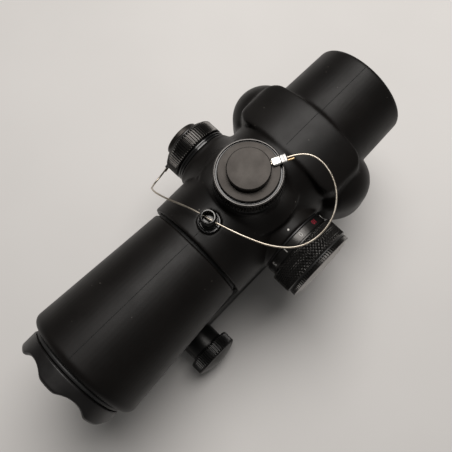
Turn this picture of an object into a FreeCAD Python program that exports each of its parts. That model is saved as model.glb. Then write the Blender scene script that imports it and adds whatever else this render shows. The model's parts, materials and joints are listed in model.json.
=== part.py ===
"""Compact prism sight with tethered turret caps, a side illumination dial and a rail clamp.

The whole sight is modelled round its optical axis, which runs along X with the objective at +X.
Z is up and Y is the shooter's left. Every solid is lifted by AXIS_HEIGHT when it is written, so
that the origin of the finished part is on the rail seat, directly under the elevation turret.
Lengths are in millimetres.
"""

import FreeCAD, Part
import math
import os

Vector = FreeCAD.Vector

# Overall layout, measured from the turret axis and the optical axis.
AXIS_HEIGHT = 34.0
EYEPIECE_END = -54.3
PRISM_REAR = -31.6
PRISM_FRONT = -14.7
CENTRE_FRONT = 24.0
GROOVE = 0.8
OBJECTIVE_END = 74.5
RUBBER = 2.0

# Rubber armour outside radii.
EYE_RIM_R = 17.3
EYE_ROOT_R = 17.95
CENTRE_R = 18.7
FRONT_ROOT_R = 17.5
FRONT_END_R = 20.8

# Prism housing: a broad band with a curved crown and a rounded lobe on each side.
PRISM_HALF_WIDTH = 20.3
PRISM_HALF_HEIGHT = 19.2
PRISM_CROWN_R = 31.9
PRISM_SHOULDER_R = 4.0
PRISM_CORNER = 5.5
LOBE_R = 11.1
LOBE_X = -24.8
LOBE_Y = 16.0
LOBE_LOW = -8.0
LOBE_HIGH = -0.5

# Bores of the metal housing.
EYE_BORE_R = 14.2
EYE_SHOULDER_R = 12.4
GIMBAL_BORE_R = 13.9
CENTRE_BORE_R = 13.4
OBJECTIVE_BORE_R = 16.7
EYE_SHOULDER_X = -39.0
GIMBAL_BORE_X = -38.2
CHAMBER_HALF_WIDTH = 18.0
CHAMBER_HALF_HEIGHT = 15.3
OBJECTIVE_CONE_X = 48.0
OBJECTIVE_BORE_X = 54.0

# Prism cell on its gimbal. The plans are seen from above.
GIMBAL_X = -36.1
GIMBAL_PIN_R = 0.95
CELL_PLAN = [(-29.6, -9.0), (-29.6, 9.0), (-27.4, 14.2), (-18.6, 14.2), (-15.4, 10.0),
             (-15.4, -10.0), (-18.6, -14.2), (-27.4, -14.2)]
POCKET_PLAN = [(-28.4, -8.5), (-28.4, 8.5), (-26.9, 12.9), (-19.2, 12.9), (-16.7, 9.3),
               (-16.7, -9.3), (-19.2, -12.9), (-26.9, -12.9)]
HALF_PENTA_PLAN = [(-16.8, -9.2), (-16.8, 9.2), (-19.3, 12.8), (-20.3, 12.8), (-25.6, -12.8),
                   (-19.3, -12.8)]
ROOF_PLAN = [(-28.3, -8.4), (-28.3, 8.4), (-26.8, 12.8), (-20.9, 12.8), (-26.2, -12.8),
             (-26.8, -12.8)]
CELL_HALF_HEIGHT = 8.2
PRISM_HALF = 6.8
CARRIER_R = 9.5
CARRIER_BORE_R = 8.0

# Turrets: the same caps, bases and adjusters on the top and on the right.
BOSS_R = 10.6
BOSS_TOP = 20.8
FLANGE_R = 10.25
FLANGE_TOP = 22.6
STEM_R = 8.6
STEM_TOP = 26.9
BASE_BORE_R = 6.2
PLUG_R = 7.5
PLUG_END = 12.7
CAP_R = 10.3
CAP_FOOT = 22.75
CAP_RIM = 28.2
CAP_FACE = 29.0
CAP_FACE_R = 9.05
CAP_LIP_R = 9.7
CAP_GROOVE_FLOOR = 27.5
BUTTON_R = 6.4
BUTTON_FOOT = 29.95
BUTTON_TOP = 31.6
NECK_R = 5.0
THREAD_GAP = 0.08

# Tether: a thin wire rope with a crimped loop round the neck of each cap's button.
WIRE_R = 0.3
LOOP_Z = 29.5
LOOP_R = 5.5
FERRULE_START = 6.9
FERRULE_LENGTH = 2.5
FERRULE_WIDTH = 2.6
FERRULE_THICK = 0.9
SLEEVE_LENGTH = 1.9
ELEVATION_TAIL_DEG = 153.5
WINDAGE_TAIL_DEG = -30.6
POST_X = 16.8
POST_R = 2.6
POST_SOCKET_R = 1.65
POST_TOP = 24.6
POST_FLANGE_R = 3.6
ELEVATION_ROUTE = [
    (-10.16, 5.06, 29.5), (-13.3, 6.6, 29.5), (-16.2, 10.2, 29.2), (-16.3, 15.6, 28.4),
    (-13.6, 21.4, 27.3), (-8.2, 25.6, 26.2), (-1.2, 26.8, 25.0), (5.4, 24.7, 24.0),
    (10.2, 19.0, 23.0), (13.1, 12.0, 22.3), (15.4, 5.0, 22.05), (16.72, 0.0, 22.0),
]
WINDAGE_ROUTE = [
    (16.72, 0.0, 22.0), (17.4, -4.0, 21.4), (18.9, -9.6, 19.4), (20.4, -15.2, 16.4),
    (20.9, -20.4, 12.0), (20.0, -23.8, 6.3), (19.3, -26.0, 0.4), (18.6, -27.6, -4.5),
    (16.5, -29.1, -7.4), (13.0, -29.5, -7.69), (9.77, -29.5, -5.78),
]

# Illumination dial on the left side.
DIAL_BOSS_TOP = 19.4
DIAL_BOSS_R = 12.0
DIAL_SPIGOT_R = 8.5
DIAL_COLLAR_R = 11.8
DIAL_COLLAR_FOOT = 19.95
DIAL_COLLAR_TOP = 22.9
DIAL_RING_R = 12.95
DIAL_RING_FOOT = 23.3
DIAL_RING_TOP = 30.0
DIAL_POCKET_R = 10.3
DIAL_THREAD_R = 11.6
BATTERY_R = 10.0
BATTERY_FOOT = 26.4
BATTERY_THICK = 3.2
BATTERY_CAP_R = 12.4
BATTERY_CAP_FOOT = 30.4
BATTERY_CAP_TOP = 32.0
BATTERY_CAP_FACE = 32.8
BATTERY_CAP_FACE_R = 7.8

# Scalloped hood ring that screws into the front of the objective.
HOOD_R = 17.75
HOOD_REAR = 76.3
HOOD_FRONT = 82.45
HOOD_BORE_R = 14.6
HOOD_SKIRT_R = 16.6
HOOD_NECK_R = 15.9
SCALLOPS = 6
SCALLOP_R = 8.1
SCALLOP_DEPTH = 2.2

# Rail mount for a standard 21.2 mm accessory rail.
RAIL_TOP_HALF = 7.84
RAIL_HALF = 10.6
RAIL_UPPER_FLANK = 2.74
RAIL_FLAT = 1.2
JAW_DEPTH = 9.5
MOUNT_REAR = -15.0
MOUNT_FRONT = 53.0
MOUNT_FOOT_TOP = -25.5
MOUNT_PILLAR_HALF = 8.5
PAD_BOTTOM = -19.6
FOOT_LEFT = 11.4
JAW_INNER = 11.7
JAW_OUTER = 15.4
FIXED_SIDE = 15.4
BOLT_R = 2.5
BOLT_DROP = 0.5
BOLT_STATIONS = (("rear", -6.3), ("front", 43.7))
NUT_R = 8.5
NUT_NECK_R = 6.5
NUT_HEAD_START = 21.5
NUT_HEAD_END = 26.0
NUT_DOME_R = 8.2
NUT_END = 28.1
MOUNT_SCREW_X = (8.0, 30.0)
MOUNT_SCREW_R = 2.5

EVERYTHING = 400.0


def cylinder(axis, radius, start, end, centre=(0.0, 0.0, 0.0)):
    """A cylinder along a unit direction, from start to end measured along it through centre."""
    direction = Vector(*axis)
    foot = Vector(*centre) + direction * start
    return Part.makeCylinder(radius, end - start, foot, direction)


def block(x0, x1, y0, y1, z0, z1):
    return Part.makeBox(x1 - x0, y1 - y0, z1 - z0, Vector(x0, y0, z0))


def outline_wire(outline, to_vector):
    """A closed wire. A step of the outline is a point, or ("arc", middle, end)."""
    edges = []
    first = to_vector(outline[0])
    here = first
    for step in outline[1:]:
        if step[0] == "arc":
            middle = to_vector(step[1])
            there = to_vector(step[2])
            edges.append(Part.Arc(here, middle, there).toShape())
        else:
            there = to_vector(step)
            edges.append(Part.makeLine(here, there))
        here = there
    if (here - first).Length > 1e-9:
        edges.append(Part.makeLine(here, first))
    return Part.Wire(edges)


def spin(outline):
    """A solid of revolution about Z from an outline of (height, radius) steps."""
    wire = outline_wire(outline, lambda p: Vector(p[1], 0.0, p[0]))
    return Part.Face(wire).revolve(Vector(0, 0, 0), Vector(0, 0, 1), 360)


def spin_x(outline):
    """The same about the optical axis, from (x, radius) steps."""
    shape = spin(outline)
    shape.rotate(Vector(0, 0, 0), Vector(0, 1, 0), 90)
    return shape


def torus(height, ring_radius, radius):
    shape = Part.makeTorus(ring_radius, radius)
    shape.translate(Vector(0, 0, height))
    return shape


def to_top(shape):
    return shape


def to_right(shape):
    """Turns a solid built along +Z so that it points to -Y."""
    turned = shape.copy()
    turned.rotate(Vector(0, 0, 0), Vector(1, 0, 0), 90)
    return turned


def to_left(shape):
    """Turns a solid built along +Z so that it points to +Y."""
    turned = shape.copy()
    turned.rotate(Vector(0, 0, 0), Vector(1, 0, 0), -90)
    return turned


def extrude_plan(points, z0, z1):
    wire = outline_wire(points, lambda p: Vector(p[0], p[1], z0))
    return Part.Face(wire).extrude(Vector(0, 0, z1 - z0))


def extrude_section(points, x0, x1):
    wire = outline_wire(points, lambda p: Vector(x0, p[0], p[1]))
    return Part.Face(wire).extrude(Vector(x1 - x0, 0, 0))


# ---------------------------------------------------------------- body and armour


def band_section(inset):
    """One side of the band's outline: crown height, crown end, shoulder middle and shoulder end."""
    crown = PRISM_CROWN_R - inset
    shoulder = PRISM_SHOULDER_R - inset / 2
    half = PRISM_HALF_WIDTH - inset
    crown_z = PRISM_HALF_HEIGHT - PRISM_CROWN_R
    shoulder_y = half - shoulder
    reach = crown - shoulder
    shoulder_z = crown_z + math.sqrt(reach ** 2 - shoulder_y ** 2)
    lean = math.asin(shoulder_y / reach)
    middle = (lean + math.pi / 2) / 2
    meet = (crown * math.sin(lean), crown_z + crown * math.cos(lean))
    bend = (shoulder_y + shoulder * math.sin(middle), shoulder_z + shoulder * math.cos(middle))
    return crown_z + crown, meet, bend, (half, shoulder_z)


def flipped(point, side, up):
    return (side * point[0], up * point[1])


def prism_band(inset, x0, x1):
    """The band between two stations. Seen from above it has rounded corners."""
    top, meet, bend, end = band_section(inset)
    outline = []
    for up in (1, -1):
        outline += [
            flipped(end, up, up), ("arc", flipped(bend, up, up), flipped(meet, up, up)),
            ("arc", (0, up * top), flipped(meet, -up, up)),
            ("arc", flipped(bend, -up, up), flipped(end, -up, up)),
        ]
    half = PRISM_HALF_WIDTH - inset + 0.2
    block_plan = block(x0, x1, -half, half, -top - 1, top + 1)
    uprights = [e for e in block_plan.Edges if e.BoundBox.ZLength > top]
    block_plan = block_plan.makeFillet(PRISM_CORNER, uprights)
    across = extrude_section(outline, x0, x1)
    return across.common(block_plan)


def lobe(radius, side):
    low = Vector(LOBE_X, side * LOBE_Y, LOBE_LOW)
    high = Vector(LOBE_X, side * LOBE_Y, LOBE_HIGH)
    middle = Part.makeCylinder(radius, LOBE_HIGH - LOBE_LOW, low)
    return middle.fuse([Part.makeSphere(radius, low), Part.makeSphere(radius, high)])


def eyepiece_skin():
    return spin_x([
        (EYEPIECE_END, 0), (EYEPIECE_END, EYE_RIM_R - 1.2),
        ("arc", (EYEPIECE_END + 0.35, EYE_RIM_R - 0.35), (EYEPIECE_END + 1.2, EYE_RIM_R)),
        (PRISM_REAR, EYE_ROOT_R), (PRISM_FRONT, EYE_ROOT_R), (PRISM_FRONT, 0),
    ])


def rear_skin():
    band = prism_band(0, PRISM_REAR, PRISM_FRONT)
    return eyepiece_skin().fuse([band, lobe(LOBE_R, 1), lobe(LOBE_R, -1)])


def turret_boss_skin():
    return spin([
        (8.0, 0), (8.0, 15.5), (14.0, 15.5),
        ("arc", (16.8, 12.6), (19.3, BOSS_R + 0.35)),
        (20.4, BOSS_R + 0.15), (BOSS_TOP, BOSS_R - 0.2), (BOSS_TOP, 0),
    ])


def dial_boss_skin():
    return spin([
        (8.0, 0), (8.0, DIAL_BOSS_R + 0.6), (12.0, DIAL_BOSS_R + 0.5),
        (DIAL_BOSS_TOP - 0.4, DIAL_BOSS_R), (DIAL_BOSS_TOP, DIAL_BOSS_R - 0.4), (DIAL_BOSS_TOP, 0),
    ])


def centre_skin():
    barrel = spin_x([
        (PRISM_FRONT, 0), (PRISM_FRONT, CENTRE_R), (CENTRE_FRONT - 0.6, CENTRE_R),
        ("arc", (CENTRE_FRONT - 0.18, CENTRE_R - 0.18), (CENTRE_FRONT, CENTRE_R - 0.6)),
        (CENTRE_FRONT, 0),
    ])
    bosses = [turret_boss_skin(), to_right(turret_boss_skin()), to_left(dial_boss_skin())]
    limit = block(PRISM_FRONT, CENTRE_FRONT, -EVERYTHING, EVERYTHING, -EVERYTHING, EVERYTHING)
    return barrel.fuse(bosses).common(limit)


def front_skin():
    start = CENTRE_FRONT + GROOVE
    corner = OBJECTIVE_END - 2.6
    return spin_x([
        (start, 0), (start, FRONT_ROOT_R - 0.5), (start + 0.5, FRONT_ROOT_R),
        (corner, FRONT_END_R),
        ("arc", (OBJECTIVE_END - 0.75, FRONT_END_R - 0.75), (OBJECTIVE_END, FRONT_END_R - 2.2)),
        (OBJECTIVE_END, 0),
    ])


def housing_core():
    """The outside of the metal body, without its bores."""
    tube = spin_x([
        (EYEPIECE_END + 1.1, 0), (EYEPIECE_END + 1.1, EYE_RIM_R - 1.5),
        (PRISM_REAR - 1.0, EYE_ROOT_R - 1.8), (PRISM_FRONT, EYE_ROOT_R - 1.8),
        (PRISM_FRONT, CENTRE_R - RUBBER), (CENTRE_FRONT, CENTRE_R - RUBBER),
        (CENTRE_FRONT, FRONT_ROOT_R - 1.2), (CENTRE_FRONT + GROOVE, FRONT_ROOT_R - 1.2),
        (CENTRE_FRONT + GROOVE, FRONT_ROOT_R - RUBBER), (OBJECTIVE_END, FRONT_END_R - 2.4),
        (OBJECTIVE_END, 0),
    ])
    band = prism_band(RUBBER, PRISM_REAR + 0.5, PRISM_FRONT)
    turret = cylinder((0, 0, 1), BOSS_R - 1.0, 8.0, BOSS_TOP)
    dial = cylinder((0, 0, 1), DIAL_BOSS_R - 1.4, 8.0, DIAL_BOSS_TOP)
    pad = block(MOUNT_REAR + 3, MOUNT_FRONT - 3, -7.5, 7.5, PAD_BOTTOM, -12.0)
    parts = [band, lobe(LOBE_R - RUBBER, 1), lobe(LOBE_R - RUBBER, -1)]
    parts += [turret, to_right(turret), to_left(dial), pad]
    return tube.fuse(parts)


def prism_chamber():
    """Oval space for the prism cell."""
    ellipse = Part.Ellipse(Vector(0, 0, 0), CHAMBER_HALF_WIDTH, CHAMBER_HALF_HEIGHT).toShape()
    start = PRISM_REAR + 1.7
    chamber = Part.Face(Part.Wire([ellipse])).extrude(Vector(0, 0, PRISM_FRONT - start))
    chamber.rotate(Vector(0, 0, 0), Vector(1, 1, 1), 120)
    chamber.translate(Vector(start, 0, 0))
    return chamber


def housing_bores():
    bore = spin_x([
        (EYEPIECE_END, 0), (EYEPIECE_END, EYE_BORE_R), (EYE_SHOULDER_X, EYE_BORE_R),
        (EYE_SHOULDER_X, EYE_SHOULDER_R), (GIMBAL_BORE_X, EYE_SHOULDER_R),
        (GIMBAL_BORE_X, GIMBAL_BORE_R), (PRISM_REAR, GIMBAL_BORE_R),
        (PRISM_REAR, CENTRE_BORE_R), (OBJECTIVE_CONE_X, CENTRE_BORE_R),
        (OBJECTIVE_BORE_X, OBJECTIVE_BORE_R), (OBJECTIVE_END + 1, OBJECTIVE_BORE_R),
        (OBJECTIVE_END + 1, 0),
    ])
    chamber = prism_chamber()
    pockets = [lobe(LOBE_R - 4.0, 1), lobe(LOBE_R - 4.0, -1)]
    turret = cylinder((0, 0, 1), PLUG_R, 8.0, BOSS_TOP + 1)
    dial = cylinder((0, 0, 1), DIAL_SPIGOT_R, 8.0, DIAL_BOSS_TOP + 1)
    pins = cylinder((0, 1, 0), GIMBAL_PIN_R, -15.2, 15.2, (GIMBAL_X, 0, 0))
    screws = [cylinder((0, 0, 1), MOUNT_SCREW_R, PAD_BOTTOM - 1, -15.0, (x, 0, 0))
              for x in MOUNT_SCREW_X]
    post = cylinder((0, 0, 1), 1.5, 14.9, 20.0, (POST_X, 0, 0))
    cuts = [chamber, turret, to_right(turret), to_left(dial), pins, post]
    return bore.fuse(cuts + pockets + screws)


def armour(skin, core):
    """Rubber skin over the metal core, cleared where turrets, dial and mount come through."""
    opening = spin_x([
        (EYEPIECE_END - 1, 0), (EYEPIECE_END - 1, EYE_BORE_R + 0.4),
        (EYEPIECE_END + 1.1, EYE_BORE_R + 0.4), (EYEPIECE_END + 1.1, 0),
    ])
    turret = cylinder((0, 0, 1), BOSS_R - 1.0, 8.0, BOSS_TOP + 1)
    dial = cylinder((0, 0, 1), DIAL_BOSS_R - 1.4, 8.0, DIAL_BOSS_TOP + 1)
    post = cylinder((0, 0, 1), POST_FLANGE_R, 16.0, 26.0, (POST_X, 0, 0))
    return skin.cut([core, opening, turret, to_right(turret), to_left(dial), post])


# ---------------------------------------------------------------- optics


def sphere_depth(sag, rim_radius, radius):
    """How far a sphere has dropped at a radius, when it drops by sag at the rim radius."""
    sphere = (rim_radius ** 2 + sag ** 2) / (2 * abs(sag))
    return math.copysign(sphere - math.sqrt(sphere ** 2 - radius ** 2), sag)


def lens(rear_x, rear_sag, front_x, front_sag, radius):
    """A lens between two vertices. A positive sag bulges outwards, a negative one is hollow."""
    rear_middle = rear_x + sphere_depth(rear_sag, radius, radius / 2)
    front_middle = front_x - sphere_depth(front_sag, radius, radius / 2)
    return spin_x([
        (rear_x, 0), ("arc", (rear_middle, radius / 2), (rear_x + rear_sag, radius)),
        (front_x - front_sag, radius), ("arc", (front_middle, radius / 2), (front_x, 0)),
    ])


def tube_x(outer, inner, x0, x1):
    return cylinder((1, 0, 0), outer, x0, x1).cut(cylinder((1, 0, 0), inner, x0 - 1, x1 + 1))


def spanner_ring(outer, inner, x0, x1, slot_x0, slot_x1):
    """A threaded retaining ring with two slots for a spanner."""
    slot = block(slot_x0, slot_x1, -outer - 1, outer + 1, -0.8, 0.8)
    return tube_x(outer, inner, x0, x1).cut(slot)


def objective_parts():
    outer = OBJECTIVE_BORE_R - 0.02
    cell = tube_x(outer, 15.2, 55.0, 66.1).fuse(tube_x(outer, 14.2, 55.0, 56.2))
    retainer = spanner_ring(outer, 14.4, 66.2, 68.3, 67.6, 68.4)
    retainer = retainer.fuse(tube_x(15.1, 14.4, 64.2, 66.2))
    return {
        "objective_cell": cell,
        "objective_rear_lens": lens(57.6, -0.5, 60.2, -1.3, 15.1),
        "objective_spacer": tube_x(15.1, 14.3, 61.5, 62.05),
        "objective_front_lens": lens(61.0, 1.2, 65.9, 2.0, 15.1),
        "objective_retainer": retainer,
    }


def eyepiece_parts():
    return {
        "eyepiece_retainer": spanner_ring(14.1, 12.6, -52.8, -50.6, -52.9, -52.1),
        "eyepiece_eye_lens": lens(-50.4, 1.6, -46.0, 0.9, 14.1),
        "eyepiece_spacer": tube_x(14.1, 13.0, -46.75, -42.6),
        "eyepiece_field_lens": lens(-43.6, 1.3, -39.1, 0.05, 14.1),
    }


def gimbal_ring():
    ring = tube_x(13.3, 10.2, -37.6, -34.6)
    side_pins = cylinder((0, 1, 0), GIMBAL_PIN_R + 0.05, -20, 20, (GIMBAL_X, 0, 0))
    upright_pins = cylinder((0, 0, 1), GIMBAL_PIN_R + 0.05, -20, 20, (GIMBAL_X, 0, 0))
    return ring.cut([side_pins, upright_pins])


def gimbal_pins():
    pin = cylinder((0, 1, 0), GIMBAL_PIN_R, 10.4, 15.2, (GIMBAL_X, 0, 0))
    return Part.makeCompound([pin, pin.mirror(Vector(0, 0, 0), Vector(0, 1, 0))])


def prism_cell():
    body = extrude_plan(CELL_PLAN, -CELL_HALF_HEIGHT, CELL_HALF_HEIGHT)
    pocket = extrude_plan(POCKET_PLAN, -PRISM_HALF, CELL_HALF_HEIGHT + 1)
    neck = cylinder((1, 0, 0), 9.6, -37.9, -28.8)
    carrier = cylinder((1, 0, 0), CARRIER_R, -17.0, 8.0)
    pin = cylinder((0, 0, 1), GIMBAL_PIN_R, 9.0, 12.9, (GIMBAL_X, 0, 0))
    low_pin = pin.mirror(Vector(0, 0, 0), Vector(0, 0, 1))
    shell = body.fuse([neck, carrier, pin, low_pin])
    rear_hole = cylinder((1, 0, 0), 7.6, -39.0, -28.0)
    front_hole = cylinder((1, 0, 0), CARRIER_BORE_R, -15.4, 9.0)
    window = cylinder((1, 0, 0), 6.6, -17.5, -15.0)
    return shell.cut([pocket, rear_hole, front_hole, window])


def prism_parts():
    return {
        "prism_cell": prism_cell(),
        "half_penta_prism": extrude_plan(HALF_PENTA_PLAN, -PRISM_HALF, PRISM_HALF),
        "roof_prism": extrude_plan(ROOF_PLAN, -PRISM_HALF, PRISM_HALF),
        "prism_clip": extrude_plan(POCKET_PLAN, PRISM_HALF, CELL_HALF_HEIGHT),
        "reticle": cylinder((1, 0, 0), CARRIER_BORE_R, 4.5, 6.0),
        "reticle_retainer": tube_x(CARRIER_BORE_R, 6.6, 6.0, 7.8),
    }


# ---------------------------------------------------------------- turrets


def turret_base():
    return spin([
        (PLUG_END, 3.1), (PLUG_END, PLUG_R), (BOSS_TOP, PLUG_R), (BOSS_TOP, FLANGE_R),
        (FLANGE_TOP - 0.3, FLANGE_R), (FLANGE_TOP, FLANGE_R - 0.3), (FLANGE_TOP, STEM_R - 0.55),
        (23.3, STEM_R - 0.55), (23.5, STEM_R), (STEM_TOP - 0.4, STEM_R),
        (STEM_TOP, STEM_R - 0.4), (STEM_TOP, BASE_BORE_R), (17.0, BASE_BORE_R), (17.0, 3.1),
    ])


def turret_adjuster():
    screw = spin([
        (13.0, 1.6), (13.0, 3.0), (23.4, 3.0), (23.4, 6.1), (26.2, 6.1), (26.5, 5.8),
        (26.5, 0), (21.0, 0), (21.0, 1.6),
    ])
    coin_slot = block(-7, 7, -0.7, 0.7, 25.2, 27.0)
    return screw.cut(coin_slot)


def turret_click_ring():
    ring = cylinder((0, 0, 1), BASE_BORE_R, 17.0, 19.4)
    ring = ring.cut(cylinder((0, 0, 1), 4.6, 16.0, 20.4))
    notches = [cylinder((0, 0, 1), 0.3, 16.0, 20.4,
                        (4.6 * math.cos(turn), 4.6 * math.sin(turn), 0))
               for turn in [math.radians(15 * n) for n in range(24)]]
    return ring.cut(notches)


def turret_plunger():
    return spin([(9.6, 0), (9.6, 0.7), (10.3, 1.5), (20.4, 1.5), (20.4, 0)])


def turret_o_ring():
    return torus(22.95, STEM_R - 0.22, 0.28)


def turret_cap():
    skirt_r = STEM_R + THREAD_GAP
    return spin([
        (CAP_FOOT, skirt_r), (CAP_FOOT, CAP_R - 0.2), (CAP_FOOT + 0.2, CAP_R),
        (CAP_RIM - 0.5, CAP_R), (CAP_RIM, CAP_R - 0.35), (CAP_RIM, CAP_LIP_R),
        (CAP_GROOVE_FLOOR, CAP_LIP_R), (CAP_GROOVE_FLOOR, CAP_FACE_R),
        (CAP_FACE - 0.15, CAP_FACE_R), (CAP_FACE, CAP_FACE_R - 0.2),
        (CAP_FACE, NECK_R), (BUTTON_FOOT, NECK_R), (BUTTON_FOOT, BUTTON_R - 0.2),
        (BUTTON_FOOT + 0.15, BUTTON_R), (BUTTON_TOP - 0.25, BUTTON_R),
        (BUTTON_TOP, BUTTON_R - 0.25), (BUTTON_TOP, 0), (27.1, 0), (27.1, skirt_r),
    ])


def turned_about_z(shape, degrees):
    turned = shape.copy()
    turned.rotate(Vector(0, 0, 0), Vector(0, 0, 1), degrees)
    return turned


def tether_loop(tail_deg):
    """A ring of wire round the button's neck, its two strands into the ferrule and its cut end."""
    ring = torus(LOOP_Z, LOOP_R, WIRE_R - 0.02)
    strands = [cylinder((1, 0, 0), WIRE_R - 0.02, LOOP_R, FERRULE_START, (0, side * 0.32, LOOP_Z))
               for side in (-1, 1)]
    sleeve_end = FERRULE_START + FERRULE_LENGTH + SLEEVE_LENGTH
    cut_end = cylinder((1, 0, 0), WIRE_R, sleeve_end, sleeve_end + 2.0, (0, -0.85, LOOP_Z))
    return turned_about_z(Part.makeCompound([ring.fuse(strands), cut_end]), tail_deg)


def tether_ferrule(tail_deg):
    """A flattened crimp: an oval slug along the tail."""
    half = FERRULE_WIDTH / 2
    low = LOOP_Z + 0.08 - FERRULE_THICK / 2
    end = FERRULE_START + FERRULE_LENGTH
    slug = block(FERRULE_START, end, -half, half, low, low + FERRULE_THICK)
    slug = slug.makeFillet(0.4, [e for e in slug.Edges if e.BoundBox.XLength > 1.0])
    return turned_about_z(slug, tail_deg)


def tether_sleeve(tail_deg):
    start = FERRULE_START + FERRULE_LENGTH
    low = LOOP_Z + 0.08 - 0.4
    slug = block(start, start + SLEEVE_LENGTH, -1.4, 1.4, low, low + 0.8)
    slug = slug.makeFillet(0.35, [e for e in slug.Edges if e.BoundBox.XLength > 1.0])
    return turned_about_z(slug, tail_deg)


def turret_parts(name, place, tail_deg):
    return {
        name + "_base": place(turret_base()),
        name + "_adjuster": place(turret_adjuster()),
        name + "_click_ring": place(turret_click_ring()),
        name + "_plunger": place(turret_plunger()),
        name + "_o_ring": place(turret_o_ring()),
        name + "_cap": place(turret_cap()),
        name + "_tether_loop": place(tether_loop(tail_deg)),
        name + "_tether_ferrule": place(tether_ferrule(tail_deg)),
        name + "_tether_sleeve": place(tether_sleeve(tail_deg)),
    }


# ---------------------------------------------------------------- tether wire and post


def corner_arcs(points):
    """For each inner point of a route: where its arc starts, its middle, its end and its radius."""
    arcs = []
    for before, corner, after in zip(points, points[1:], points[2:]):
        back = before - corner
        ahead = after - corner
        half_turn = (math.pi - back.getAngle(ahead)) / 2
        reach = 0.45 * min(back.Length, ahead.Length)
        radius = reach / math.tan(half_turn)
        back.normalize()
        ahead.normalize()
        inward = back + ahead
        inward.normalize()
        middle = corner + inward * (radius / math.cos(half_turn) - radius)
        arcs.append((corner + back * reach, middle, corner + ahead * reach, radius))
    return arcs


def wire_tube(name, route):
    """A round tube along straight runs joined by tangent arcs."""
    points = [Vector(*p) for p in route]
    arcs = corner_arcs(points)
    edges = []
    here = points[0]
    for start, middle, end, _ in arcs:
        edges.append(Part.makeLine(here, start))
        edges.append(Part.Arc(start, middle, end).toShape())
        here = end
    edges.append(Part.makeLine(here, points[-1]))
    path = Part.Wire(edges)
    first_run = points[1] - points[0]
    section = Part.Wire([Part.makeCircle(WIRE_R, points[0], first_run)])
    tube = path.makePipeShell([section], True, False)
    expected = math.pi * WIRE_R ** 2 * path.Length
    print(name, "length", round(path.Length, 2), "volume", round(tube.Volume, 3),
          "of", round(expected, 3), "radii", [round(arc[3], 1) for arc in arcs])
    return tube


def tether_post():
    post = cylinder((0, 0, 1), POST_R, 19.0, POST_TOP, (POST_X, 0, 0))
    post = post.fuse(cylinder((0, 0, 1), 1.5, 15.0, 19.0, (POST_X, 0, 0)))
    post = post.makeChamfer(0.4, [e for e in post.Edges if e.BoundBox.ZMin > POST_TOP - 0.01])
    socket = cylinder((0, 0, 1), POST_SOCKET_R, 20.6, POST_TOP + 1, (POST_X, 0, 0))
    meeting = Vector(*WINDAGE_ROUTE[0])
    holes = []
    for beyond in (ELEVATION_ROUTE[-2], WINDAGE_ROUTE[1]):
        holes.append(Part.makeCylinder(WIRE_R + 0.2, 4, meeting, Vector(*beyond) - meeting))
    return post.cut([socket] + holes)


def tether_washer():
    """Stepped washer, hollowed underneath to sit on the round metal body."""
    washer = cylinder((0, 0, 1), POST_FLANGE_R, 16.0, 19.0, (POST_X, 0, 0))
    step = cylinder((0, 0, 1), 2.9, 19.0, 19.4, (POST_X, 0, 0))
    hole = cylinder((0, 0, 1), POST_R, 19.0, 20.0, (POST_X, 0, 0))
    stud = cylinder((0, 0, 1), 1.5, 14.0, 20.0, (POST_X, 0, 0))
    seat = cylinder((1, 0, 0), CENTRE_R - RUBBER, 10.0, CENTRE_FRONT)
    return washer.fuse(step).cut([hole, stud, seat])


# ---------------------------------------------------------------- illumination dial


def dial_base():
    return spin([
        (PLUG_END + 1.3, 6.0), (PLUG_END + 1.3, DIAL_SPIGOT_R), (DIAL_BOSS_TOP, DIAL_SPIGOT_R),
        (DIAL_BOSS_TOP, 11.3), (DIAL_COLLAR_FOOT - 0.15, 11.3), (DIAL_COLLAR_FOOT - 0.15, DIAL_SPIGOT_R),
        (25.6, DIAL_SPIGOT_R),
        (25.6, 8.1), (26.05, 8.1), (26.05, 2.0), (25.0, 2.0), (25.0, 6.0),
    ])


def dial_ring():
    """Number collar and knurled grip in one piece, with the battery pocket inside."""
    return spin([
        (DIAL_COLLAR_FOOT, DIAL_SPIGOT_R + 0.08), (DIAL_COLLAR_FOOT, DIAL_COLLAR_R - 0.2),
        (DIAL_COLLAR_FOOT + 0.2, DIAL_COLLAR_R), (DIAL_COLLAR_TOP, DIAL_COLLAR_R),
        (DIAL_COLLAR_TOP, DIAL_COLLAR_R - 0.4), (DIAL_RING_FOOT, DIAL_COLLAR_R - 0.4),
        (DIAL_RING_FOOT, DIAL_RING_R - 0.2), (DIAL_RING_FOOT + 0.2, DIAL_RING_R),
        (DIAL_RING_TOP - 0.3, DIAL_RING_R),
        (DIAL_RING_TOP, DIAL_RING_R - 0.3), (DIAL_RING_TOP, DIAL_THREAD_R), (28.0, DIAL_THREAD_R),
        (28.0, DIAL_POCKET_R), (25.5, DIAL_POCKET_R), (25.5, DIAL_SPIGOT_R + 0.08),
    ])


def dial_clip():
    """Snap ring on the end of the spigot that keeps the dial on."""
    return spin([(25.6, 8.1), (25.6, 9.6), (26.05, 9.6), (26.05, 8.1)])


def battery():
    low = BATTERY_FOOT
    top = BATTERY_FOOT + BATTERY_THICK
    return spin([
        (low, 0), (low, 8.6), (low + 0.5, 8.8), (low + 0.6, BATTERY_R), (top - 0.3, BATTERY_R),
        (top, BATTERY_R - 0.3), (top, 0),
    ])


def battery_contact():
    """Dished spring washer between the spigot and the cell."""
    return spin([(26.05, 2.2), (26.05, 3.0), (26.3, 4.4), (26.38, 4.4), (26.13, 2.2)])


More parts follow.
